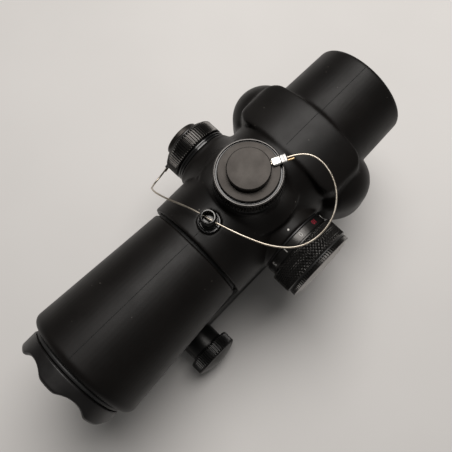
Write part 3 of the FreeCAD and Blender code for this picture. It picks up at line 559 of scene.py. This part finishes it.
def make_post():
    place = UP @ Matrix.Translation((POST_X, 0, 0))
    post = lathe("tether_post_turned", rounded([
        (20.6, 0, 0), (20.6, 1.65, 0.1), (24.45, 1.65, 0.1), (24.6, 1.85, 0.1), (24.55, 2.15, 0.1),
        (24.1, 2.6, 0.15), (21.4, 2.6, 0.1), (21.3, 2.45, 0.05), (21.1, 2.45, 0.05), (21.0, 2.6, 0.1),
        (19.45, 2.6, 0.05), (19.45, 1.5, 0), (15.0, 1.5, 0), (15.0, 0, 0),
    ]), place, POST_SEGMENTS)
    dress(post, "sight", "black_steel", post_metal(), "tether_post")
    washer = lathe("tether_washer_turned", rounded([
        (17.2, 1.5, 0), (17.2, 3.5, 0), (18.7, 3.6, 0.1), (19.0, 3.35, 0.12), (19.02, 2.95, 0.05),
        (19.3, 2.9, 0.1), (19.4, 2.7, 0.05), (19.4, 1.5, 0),
    ]), place, POST_SEGMENTS)
    dress(washer, "sight", "black_anodised", gloss_black(), "tether_washer")


# ---------------------------------------------------------------- dial and battery cap


def figure(value, turn, mat):
    """A raised figure wrapped round the dial's collar."""
    curve = bpy.data.curves.new("figure_text", "FONT")
    curve.body = str(value)
    curve.size = FIGURE_SIZE
    curve.align_x = "CENTER"
    curve.align_y = "CENTER"
    curve.extrude = FIGURE_RAISE
    curve.resolution_u = 4
    holder = bpy.data.objects.new("figure_text", curve)
    mesh = bpy.data.meshes.new_from_object(holder)
    bpy.data.objects.remove(holder)
    bm = bmesh.new()
    bm.from_mesh(mesh)
    bmesh.ops.triangulate(bm, faces=bm.faces)
    for _ in range(2):
        long_edges = [e for e in bm.edges if e.calc_length() > FIGURE_EDGE]
        bmesh.ops.subdivide_edges(bm, edges=long_edges, cuts=1)
    for vert in bm.verts:
        angle = turn + vert.co.x / COLLAR_R
        r = COLLAR_R + FIGURE_GAP + vert.co.z
        height = FIGURE_Y - vert.co.y
        vert.co = (r * math.sin(angle), height, r * math.cos(angle))
    bmesh.ops.recalc_face_normals(bm, faces=bm.faces)
    bm.to_mesh(mesh)
    bm.free()
    mesh.transform(UP)
    obj = finish_mesh(add_object("figure_%02d" % value, mesh))
    dress(obj, "illumination_dial", "dial_black", mat)


def make_dial():
    points = rounded([
        (19.95, 8.58, 0), (19.95, 11.55, 0.1), (20.15, 11.8, 0.1), (22.72, 11.8, 0.1),
        (22.9, 11.6, 0.05), (22.9, 11.4, 0), (23.3, 11.4, 0), (23.3, 12.6, 0.1), (23.6, 12.95, 0.15),
        (29.7, 12.95, 0.15), (30.0, 12.6, 0.1), (30.0, 11.6, 0), (28.0, 11.6, 0), (28.0, 10.3, 0),
        (25.5, 10.3, 0), (25.5, 8.58, 0),
    ])
    points = denser(points, 0.13, 23.5, 29.8, 12.9)
    knurl = diamond_knurl(DIAL_KNURLS, KNURL_DEPTH, 23.75, 29.55, 12.9)
    ring = lathe("dial_turned", points, LEFT, DIAL_KNURLS * KNURL_SEGMENTS, knurl)
    dress(ring, "illumination_dial", "dial_black", dial_metal("dial_metal"), "illumination_dial")
    white = paint_material("figure_white", (0.4, 0.39, 0.37))
    red = paint_material("figure_red", (0.3, 0.012, 0.03))
    for n in range(FIGURES):
        turn = math.radians(ZERO_DEG + 360 / FIGURES * n)
        figure(n, turn, red if n == FIGURES - 1 else white)


def make_battery_cap():
    points = rounded([
        (29.75, 0, 0), (29.75, 10.5, 0), (28.1, 10.5, 0), (28.1, 11.52, 0), (30.4, 11.52, 0),
        (30.4, 12.2, 0.08), (30.55, 12.4, 0.08), (31.85, 12.4, 0.06), (32.0, 12.25, 0.06),
        (32.8, 7.8, 0.4), (32.8, 0, 0),
    ])
    points = denser(points, 0.25, 30.5, 31.9, 12.3)
    knurl = straight_knurl(BATTERY_KNURLS, KNURL_DEPTH, 30.75, 31.8, 12.2)
    cap = lathe("battery_cap_turned", points, LEFT, BATTERY_KNURLS * KNURL_SEGMENTS, knurl)
    dress(cap, "battery_cap", "dial_black", dial_metal("battery_cap_metal"), "battery_cap")
    # The end face is light grey: a painted reflection of the pale floor.
    paint_zone(cap, LEFT, face_material(), (32.02, 33.0), (0.0, 12.4))


# ---------------------------------------------------------------- hood ring and thumb nuts


def scalloped(angle, h, r):
    """Pulls the front of the ring back in round scallops."""
    step = 2 * math.pi / SCALLOPS
    off = (angle % step) - step / 2
    across = min(SCALLOP_R, abs(r * math.sin(off)))
    cut = math.sqrt(SCALLOP_R ** 2 - across ** 2) - (SCALLOP_R - SCALLOP_DEPTH)
    soft = (cut + math.sqrt(cut ** 2 + SCALLOP_SOFTNESS)) / 2
    share = min(1.0, max(0.0, (h - SCALLOP_BACK) / (HOOD_FRONT - SCALLOP_BACK)))
    return h - soft * share, r


def make_hood():
    points = rounded([
        (68.5, 14.6, 0), (68.5, 16.6, 0), (74.2, 16.6, 0), (74.2, 15.9, 0.1), (76.3, 15.9, 0.1),
        (76.3, 17.4, 0.15), (76.7, 17.75, 0.25), (81.7, 17.75, 0.7), (HOOD_FRONT, 17.0, 0.4),
        (HOOD_FRONT, 15.9, 0.25), (78.0, 14.6, 0.3),
    ])
    points = denser(points, 0.5, 76.0, 83.0, 14.0)
    ring = lathe("hood_ring_turned", points, FORWARD, HOOD_SEGMENTS, scalloped)
    dress(ring, "hood_ring", "black_anodised", hood_metal(), "hood_ring")


def dome_points():
    """The nut's domed end, from its rim to the axis."""
    sphere = (DOME_R ** 2 + DOME_RISE ** 2) / (2 * DOME_RISE)
    points = []
    for k in range(DOME_STEPS + 1):
        r = DOME_R * (1 - k / DOME_STEPS)
        drop = sphere - math.sqrt(sphere ** 2 - r ** 2)
        points.append(Vector((DOME_BASE + DOME_RISE - drop, r)))
    return points


def make_thumb_nuts():
    lower = rounded([
        (25.6, 0, 0), (25.6, 2.58, 0), (15.45, 2.58, 0), (15.45, 6.2, 0.1), (15.75, 6.5, 0.15),
        (21.0, 6.5, 0.1), (21.2, 6.3, 0.05), (21.5, 6.3, 0.05), (21.5, 8.0, 0.1), (21.9, 8.5, 0.2),
        (25.9, 8.5, 0.2), (26.3, 8.25, 0.05),
    ])
    points = denser(lower, 0.4, 21.8, 26.0, 8.3) + dome_points()
    knurl = straight_knurl(NUT_KNURLS, KNURL_DEPTH, 22.2, 25.7, 8.35)
    for station in ("rear", "front"):
        low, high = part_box("clamp_bolt_" + station)
        middle = (low + high) / 2
        turn = Matrix.Rotation(math.radians(-90), 4, "X")
        place = Matrix.Translation((middle.x, 0, middle.z)) @ turn @ SCALE
        nut = lathe("nut_turned_" + station, points, place, NUT_KNURLS * KNURL_SEGMENTS, knurl)
        dress(nut, "thumb_nut_" + station, "black_anodised", nut_metal(), "thumb_nut_" + station)


def make_mount():
    base = bevelled("mount_base_edges", "mount_base", 0.35)
    dress(base, "sight", "black_anodised", black_metal(), "mount_base")
    jaw = bevelled("clamp_jaw_edges", "clamp_jaw", 0.3)
    dress(jaw, "clamp_jaw", "black_anodised", black_metal(), "clamp_jaw")


# ---------------------------------------------------------------- tethers


def route_spline(name, route):
    """The smooth line of a wire, as a list of points of the frame."""
    curve = bpy.data.curves.new(name + "_line", "CURVE")
    curve.dimensions = "3D"
    curve.resolution_u = 24
    spline = curve.splines.new("NURBS")
    spline.points.add(len(route) - 1)
    for point, place in zip(spline.points, route):
        point.co = (*row_point(*place), 1.0)
    spline.order_u = 3
    spline.use_endpoint_u = True
    holder = bpy.data.objects.new(name + "_line", curve)
    mesh = bpy.data.meshes.new_from_object(holder)
    line = [v.co.copy() for v in mesh.vertices]
    bpy.data.objects.remove(holder)
    bpy.data.meshes.remove(mesh)
    return line


def even_steps(line, step):
    """The same line with points a step apart."""
    out = [line[0]]
    left = step
    for a, b in zip(line, line[1:]):
        run = (b - a).length
        done = 0.0
        while run - done >= left:
            done += left
            out.append(a.lerp(b, done / run))
            left = step
        left -= run - done
    if (out[-1] - line[-1]).length < step / 2:
        out.pop()
    out.append(line[-1])
    return out


def rope(name, line, radius, closed=False):
    """A stranded wire rope along a line: a section with one bump per strand that turns along it."""
    count = len(line)
    verts = []
    normal = None
    travelled = 0.0
    for i, here in enumerate(line):
        before = line[i - 1] if (closed or i > 0) else here
        after = line[(i + 1) % count] if (closed or i < count - 1) else here
        ahead = (after - before).normalized()
        if normal is None:
            normal = ahead.orthogonal().normalized()
        normal = (normal - ahead * normal.dot(ahead)).normalized()
        side = ahead.cross(normal)
        if i:
            travelled += (here - line[i - 1]).length
        twist = 2 * math.pi * travelled / (STRAND_PITCH * MM)
        for s in range(ROPE_SIDES):
            angle = 2 * math.pi * s / ROPE_SIDES
            bump = abs(math.cos(STRANDS * (angle + twist) / 2))
            r = radius * (1 - STRAND_DEPTH + STRAND_DEPTH * bump)
            verts.append(here + (normal * math.cos(angle) + side * math.sin(angle)) * r)
    faces = ring_faces(count, ROPE_SIDES, closed)
    if not closed:
        faces += end_faces(count, ROPE_SIDES)
    return mesh_object(name, verts, faces)


def tether_wire(name, route, node):
    """The wire from a cap to the post."""
    line = even_steps(route_spline(name, route), ROPE_STEP * MM)
    wire = rope(name, line, WIRE_R * MM)
    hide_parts(node)
    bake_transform(wire)
    wire.data.materials.append(wire_material())


def boxy(value, power):
    """A sine or cosine raised to a power below 1, with its sign kept, for a boxier section."""
    return math.copysign(abs(value) ** power, value)


def crimp(name, span, half, dents, place):
    """A flattened sleeve along local X, with a shallow dent at each of some shares of its length."""
    verts = []
    for i in range(CRIMP_STATIONS + 1):
        t = i / CRIMP_STATIONS
        x = span[0] + (span[1] - span[0]) * t
        edge = min(t, 1 - t) * CRIMP_STATIONS / 2
        close = 1 - CRIMP_CLOSE + CRIMP_CLOSE * min(1.0, edge)
        dent = 1.0 - DENT_DEPTH * sum(math.exp(-((t - d) / DENT_WIDTH) ** 2) for d in dents)
        for s in range(CRIMP_SIDES):
            angle = 2 * math.pi * s / CRIMP_SIDES
            y = half[0] * close * boxy(math.cos(angle), CRIMP_POWERS[0])
            z = half[1] * close * dent * boxy(math.sin(angle), CRIMP_POWERS[1])
            verts.append((x, y, LOOP_Z + CRIMP_LIFT + z))
    rings = CRIMP_STATIONS + 1
    faces = ring_faces(rings, CRIMP_SIDES, False) + end_faces(rings, CRIMP_SIDES)
    return mesh_object(name, verts, faces, place)


def straight_line(span, y, place):
    """Points along a span of local X at one y, on the level of the loop."""
    a, b = (place @ Vector((x, y, LOOP_Z)) for x in span)
    count = max(2, round((b - a).length / (ROPE_STEP * MM)))
    return [a.lerp(b, k / count) for k in range(count + 1)]


def loop_rope(name, place):
    """The ring of wire round a cap's neck and the two strands that leave it, as one piece."""
    ring = []
    for k in range(LOOP_STEPS):
        angle = 2 * math.pi * k / LOOP_STEPS
        ring.append(place @ Vector((LOOP_R * math.cos(angle), LOOP_R * math.sin(angle), LOOP_Z)))
    loop = rope(name + "_loop_rope", ring, LOOP_WIRE_R * MM, True)
    bm = bmesh.new()
    for side in (-1, 1):
        line = straight_line(STRAND_SPAN, side * STRAND_OFFSET, place)
        strand = rope(name + "_strand", line, LOOP_WIRE_R * MM)
        bm.from_mesh(strand.data)
        bpy.data.objects.remove(strand)
    bm.from_mesh(loop.data)
    bm.to_mesh(loop.data)
    bm.free()
    return finish_mesh(loop)


def make_loop(name, cap_place, tail):
    """All that rides up with a cap besides the cap: loop, ferrule, sleeve and cut wire end."""
    place = cap_place @ Matrix.Rotation(tail, 4, "Z")
    body = name + "_lift"
    dress(loop_rope(name, place), body, "wire_rope", wire_material(), name + "_tether_loop")
    line = straight_line(CUT_END_SPAN, CUT_END_OFFSET, place)
    cut_end = rope(name + "_cut_end", line, WIRE_R * MM)
    dress(cut_end, body, "wire_rope", cut_end_material())
    ferrule = crimp(name + "_ferrule_pressed", FERRULE_SPAN, FERRULE_HALF, FERRULE_DENTS, place)
    dress(ferrule, body, "crimp_steel", crimp_material(), name + "_tether_ferrule")
    sleeve = crimp(name + "_sleeve_pressed", SLEEVE_SPAN, SLEEVE_HALF, SLEEVE_DENTS, place)
    dress(sleeve, body, "crimp_steel", sleeve_material(), name + "_tether_sleeve")


def make_tethers():
    tether_wire("elevation_wire", ELEVATION_ROUTE, "tether_wire_elevation")
    tether_wire("windage_wire", WINDAGE_ROUTE, "tether_wire_windage")
    make_loop("elevation", UP, ELEVATION_TAIL)
    make_loop("windage", RIGHT, WINDAGE_TAIL)


# ---------------------------------------------------------------- materials


class Nodes:
    """Short calls that add and join shader nodes."""

    def __init__(self, tree):
        self.tree = tree
        self.shader = tree.nodes["Principled BSDF"]
        self.coords = tree.nodes.new("ShaderNodeTexCoord").outputs["Object"]

    def set(self, **values):
        """Sets shader inputs, named in lower case with underscores."""
        for key, value in values.items():
            socket = key.replace("_", " ").title().replace("Ior", "IOR")
            self.shader.inputs[socket].default_value = value

    def noise(self, scale, detail=3.0, roughness=0.5):
        """A cloudy value from 0 to 1, finer with a larger scale."""
        node = self.tree.nodes.new("ShaderNodeTexNoise")
        node.inputs["Scale"].default_value = scale
        node.inputs["Detail"].default_value = detail
        node.inputs["Roughness"].default_value = roughness
        self.tree.links.new(self.coords, node.inputs["Vector"])
        return node.outputs["Fac"]

    def ramp(self, value, stops):
        """Maps a value through (position, grey or colour) stops."""
        node = self.tree.nodes.new("ShaderNodeValToRGB")
        elements = node.color_ramp.elements
        while len(elements) < len(stops):
            elements.new(0.5)
        for element, (position, colour) in zip(elements, stops):
            element.position = position
            if not hasattr(colour, "__len__"):
                colour = (colour, colour, colour)
            element.color = (*colour, 1.0)
        self.tree.links.new(value, node.inputs["Fac"])
        return node.outputs["Color"]

    def math(self, operation, a, b=0.0):
        """One arithmetic step on two values, either of which may be a plain number."""
        node = self.tree.nodes.new("ShaderNodeMath")
        node.operation = operation
        for socket, value in zip(node.inputs, (a, b)):
            if isinstance(value, (int, float)):
                socket.default_value = value
            else:
                self.tree.links.new(value, socket)
        return node.outputs["Value"]

    def mix(self, share, first, colour):
        """The first colour, with a plain colour laid over it where share is 1."""
        node = self.tree.nodes.new("ShaderNodeMix")
        node.data_type = "RGBA"
        sockets = {s.identifier: s for s in node.inputs}
        sockets["B_Color"].default_value = (*colour, 1.0)
        self.tree.links.new(share, sockets["Factor_Float"])
        self.tree.links.new(first, sockets["A_Color"])
        return [s for s in node.outputs if s.identifier == "Result_Color"][0]

    def to(self, socket, value):
        """Joins a value to an input of the shader."""
        self.tree.links.new(value, self.shader.inputs[socket])

    def bump(self, height, distance, strength):
        """Adds a relief of some metres to the surface, over the relief it has already."""
        node = self.tree.nodes.new("ShaderNodeBump")
        node.inputs["Strength"].default_value = strength
        node.inputs["Distance"].default_value = distance
        self.tree.links.new(height, node.inputs["Height"])
        previous = self.shader.inputs["Normal"]
        if previous.links:
            self.tree.links.new(previous.links[0].from_socket, node.inputs["Normal"])
        self.tree.links.new(node.outputs["Normal"], previous)

    def axis_rings(self, centre, axes):
        """Distance from an axis through centre, with axes the two directions across it."""
        split = self.tree.nodes.new("ShaderNodeSeparateXYZ")
        self.tree.links.new(self.coords, split.inputs[0])
        total = None
        for axis in axes:
            offset = self.math("SUBTRACT", split.outputs[axis], centre["XYZ".index(axis)])
            square = self.math("MULTIPLY", offset, offset)
            total = square if total is None else self.math("ADD", total, square)
        return self.math("SQRT", total)


def material(name):
    """A new material, with short calls for its nodes. The cached functions below call it once for each
    look, so that pieces share their materials."""
    mat = bpy.data.materials.new(name)
    mat.use_nodes = True
    return mat, Nodes(mat.node_tree)


@functools.cache
def rubber_material():
    """Matte rubber with a faint grain, cloudy wear and a few specks of dust."""
    mat, n = material("armour_rubber")
    dark, light = (0.0032, 0.0026, 0.0023), (0.0062, 0.0052, 0.0046)
    cloud = n.ramp(n.noise(75, 5, 0.55), [(0.32, dark), (0.72, light)])
    dust = n.ramp(n.noise(900, 2, 0.5), [(0.765, 0.0), (0.8, 1.0)])
    n.to("Base Color", n.mix(dust, cloud, (0.12, 0.11, 0.1)))
    n.to("Roughness", n.ramp(n.noise(140, 5), [(0.3, 0.4), (0.75, 0.5)]))
    n.set(specular_ior_level=0.2)
    n.bump(n.noise(3600, 2, 0.6), 0.000004, 0.5)
    n.bump(n.noise(420, 3), 0.00004, 0.15)
    return mat


@functools.cache
def seam_material():
    """Darker rubber that paints shade: the dark line along the mould seams and the dark groove between
    the armour pieces.
    """
    mat, n = material("seam_shade_rubber")
    n.to("Base Color", n.ramp(n.noise(300, 3), [(0.3, 0.002), (0.7, 0.005)]))
    n.to("Roughness", n.ramp(n.noise(500, 3), [(0.3, 0.5), (0.7, 0.65)]))
    n.set(specular_ior_level=0.25)
    n.bump(n.noise(2500, 2), 0.00001, 0.3)
    return mat


@functools.cache
def turned_material(name, dark, light, rough, rough_worn, centre, axes):
    """Turned and anodised metal, with fine rings round its axis."""
    mat, n = material(name)
    n.set(metallic=0.85)
    n.to("Base Color", n.ramp(n.noise(160, 5), [(0.3, dark), (0.75, light)]))
    n.to("Roughness", n.ramp(n.noise(220, 4), [(0.3, rough), (0.75, rough_worn)]))
    rings = n.math("SINE", n.math("MULTIPLY", n.axis_rings(centre, axes), 2 * math.pi / RING_PITCH))
    n.bump(rings, 0.000004, 0.35)
    n.bump(n.noise(2600, 2, 0.6), 0.000015, 0.3)
    return mat


def cap_metal(name, centre, axes):
    return turned_material(name + "_cap_metal", (0.024, 0.0212, 0.019), (0.034, 0.0305, 0.0275),
                           0.4, 0.5, centre, axes)


def dial_metal(name):
    return turned_material(name, (0.026, 0.025, 0.024), (0.046, 0.044, 0.042), 0.22, 0.34,
                           (0, 0, AXIS_Z), "XZ")


@functools.cache
def plain_metal(name, dark, light, rough, rough_worn, metallic=1.0):
    """Metal with a cloudy colour between dark and light, a cloudy roughness and a fine grain."""
    mat, n = material(name)
    n.set(metallic=metallic)
    n.to("Base Color", n.ramp(n.noise(180, 5), [(0.3, dark), (0.75, light)]))
    n.to("Roughness", n.ramp(n.noise(260, 4), [(0.3, rough), (0.75, rough_worn)]))
    n.bump(n.noise(2200, 3, 0.6), 0.00002, 0.3)
    return mat


def wire_material():
    return plain_metal("wire_rope", (0.36, 0.31, 0.25), (0.62, 0.57, 0.49), 0.28, 0.42)


def crimp_material():
    return plain_metal("crimp_steel", (0.5, 0.49, 0.46), (0.74, 0.73, 0.7), 0.2, 0.34)


def black_metal():
    return plain_metal("black_anodised", (0.022, 0.022, 0.023), (0.036, 0.035, 0.035), 0.32, 0.45, 0.7)


def black_steel():
    return plain_metal("black_steel", (0.03, 0.03, 0.031), (0.055, 0.053, 0.052), 0.28, 0.42, 0.9)


def gloss_black():
    return plain_metal("gloss_black", (0.003, 0.003, 0.0032), (0.007, 0.007, 0.007), 0.14, 0.24, 0.0)


# Lighter metal for the cap's rim lip: a painted highlight.
def rim_metal():
    return plain_metal("rim_metal", (0.055, 0.052, 0.05), (0.08, 0.077, 0.074), 0.28, 0.38)


# Lighter metal for the knurled wall of a cap: a painted highlight on its ridges.
def ridge_metal():
    return plain_metal("ridge_metal", (0.04, 0.038, 0.036), (0.066, 0.063, 0.06), 0.24, 0.36)


def nut_metal():
    return plain_metal("nut_metal", (0.02, 0.02, 0.02), (0.034, 0.033, 0.032), 0.3, 0.42, 0.8)


def post_metal():
    return plain_metal("post_metal", (0.04, 0.04, 0.04), (0.075, 0.074, 0.072), 0.14, 0.24)


def hood_metal():
    return plain_metal("hood_metal", (0.003, 0.0026, 0.0026), (0.007, 0.006, 0.006), 0.34, 0.46, 0.1)


# Light grey metal for the battery cap's end face: a painted reflection of the pale floor.
def face_material():
    return plain_metal("cap_face_reflection_metal", (0.33, 0.31, 0.3), (0.44, 0.42, 0.4), 0.36, 0.48, 0.5)


def sleeve_material():
    return plain_metal("sleeve_steel", (0.2, 0.2, 0.195), (0.34, 0.33, 0.32), 0.3, 0.42)


def cut_end_material():
    return plain_metal("cut_end_metal", (0.42, 0.27, 0.12), (0.6, 0.46, 0.28), 0.3, 0.42)


def brass_material():
    return plain_metal("brass", (0.5, 0.36, 0.15), (0.68, 0.51, 0.25), 0.25, 0.38)


def cell_material():
    return plain_metal("cell_steel", (0.55, 0.55, 0.54), (0.7, 0.7, 0.69), 0.22, 0.32)


@functools.cache
def seal_material():
    mat, n = material("seal_rubber")
    n.to("Base Color", n.ramp(n.noise(200, 3), [(0.3, 0.012), (0.7, 0.02)]))
    n.set(roughness=0.5)
    n.bump(n.noise(1800, 2), 0.00002, 0.3)
    return mat


@functools.cache
def plastic_material():
    mat, n = material("holder_plastic")
    n.to("Base Color", n.ramp(n.noise(200, 3), [(0.3, 0.03), (0.7, 0.04)]))
    n.to("Roughness", n.ramp(n.noise(300, 3), [(0.3, 0.45), (0.7, 0.6)]))
    n.bump(n.noise(2500, 2), 0.00002, 0.3)
    return mat


@functools.cache
def glass_material(name, tint, coat):
    """Clear glass with a faint tint and, where coat is above 0, a coating."""
    mat, n = material(name)
    lighter = tuple(min(1.0, c * 1.04) for c in tint)
    n.set(ior=1.52, transmission_weight=1.0, coat_weight=coat)
    n.to("Base Color", n.ramp(n.noise(40, 2), [(0.3, tint), (0.7, lighter)]))
    n.to("Roughness", n.ramp(n.noise(300, 3), [(0.4, 0.0), (0.8, 0.02)]))
    return mat


@functools.cache
def paint_material(name, colour):
    """Matte paint, a little darker where it is worn."""
    mat, n = material(name)
    worn = tuple(c * 0.8 for c in colour)
    n.to("Base Color", n.ramp(n.noise(900, 4), [(0.35, worn), (0.6, colour)]))
    n.set(roughness=0.5)
    n.bump(n.noise(4000, 2), 0.00001, 0.3)
    return mat


SLOT_MATERIALS = {
    "armour_rubber": rubber_material,
    "black_anodised": black_metal,
    "cap_anodised": black_metal,
    "dial_black": black_metal,
    "glass_coated": lambda: glass_material("glass_coated", (0.86, 0.92, 0.9), 0.6),
    "prism_glass": lambda: glass_material("prism_glass", (0.93, 0.96, 0.95), 0.0),
    "wire_rope": wire_material,
    "crimp_steel": crimp_material,
    "black_steel": black_steel,
    "brass": brass_material,
    "seal_rubber": seal_material,
    "cell_steel": cell_material,
    "holder_plastic": plastic_material,
}


def dress_cad_nodes():
    """Each CAD node that stays takes the material of its slot."""
    for part in frame["record"]["subparts"]:
        mesh = frame["nodes"][part["node"]].data
        mesh.materials.clear()
        mesh.materials.append(SLOT_MATERIALS[part["material_slot"]]())


# ---------------------------------------------------------------- stage


def make_floor():
    signs = ((-1, -1), (1, -1), (1, 1), (-1, 1))
    corners = [(x * FLOOR_SIZE, y * FLOOR_SIZE, FLOOR_Z) for x, y in signs]
    floor = mesh_object("floor", corners, [(0, 1, 2, 3)])
    mat, n = material("floor_card")
    dark, light = (0.64, 0.625, 0.61), (0.69, 0.675, 0.66)
    n.to("Base Color", n.ramp(n.noise(9, 4), [(0.3, dark), (0.7, light)]))
    n.set(roughness=0.75)
    n.bump(n.noise(600, 3), 0.00005, 0.2)
    floor.data.materials.append(mat)


def make_lamp():
    """The soft lamp over the scene."""
    data = bpy.data.lights.new("ceiling", "AREA")
    data.shape = "DISK"
    data.size = LAMP_SIZE
    data.energy = LAMP_POWER
    data.color = (1.0, 0.97, 0.94)
    lamp = bpy.data.objects.new("ceiling", data)
    bpy.context.scene.collection.objects.link(lamp)
    lamp.location = LAMP_PLACE
    aim = Vector(LAMP_TARGET) - Vector(LAMP_PLACE)
    lamp.rotation_euler = aim.to_track_quat("-Z", "Y").to_euler()


def make_world():
    """The even light of the room."""
    world = bpy.data.worlds.new("room")
    bpy.context.scene.world = world
    world.use_nodes = True
    background = world.node_tree.nodes["Background"]
    background.inputs["Color"].default_value = (1.0, 0.985, 0.96, 1.0)
    background.inputs["Strength"].default_value = WORLD_STRENGTH


def make_camera():
    data = bpy.data.cameras.new("camera")
    data.lens = CAMERA_LENS
    data.sensor_width = SENSOR
    camera = bpy.data.objects.new("camera", data)
    bpy.context.scene.collection.objects.link(camera)
    camera.location = CAMERA_PLACE
    camera.rotation_euler = [math.radians(a) for a in CAMERA_TURN]
    bpy.context.scene.camera = camera


def main():
    bpy.context.scene.view_settings.view_transform = "Standard"
    make_camera()
    make_floor()
    make_world()
    make_lamp()
    dress_cad_nodes()
    make_tethers()
    make_armour()
    make_turrets()
    make_post()
    make_dial()
    make_battery_cap()
    make_hood()
    make_thumb_nuts()
    make_mount()


main()
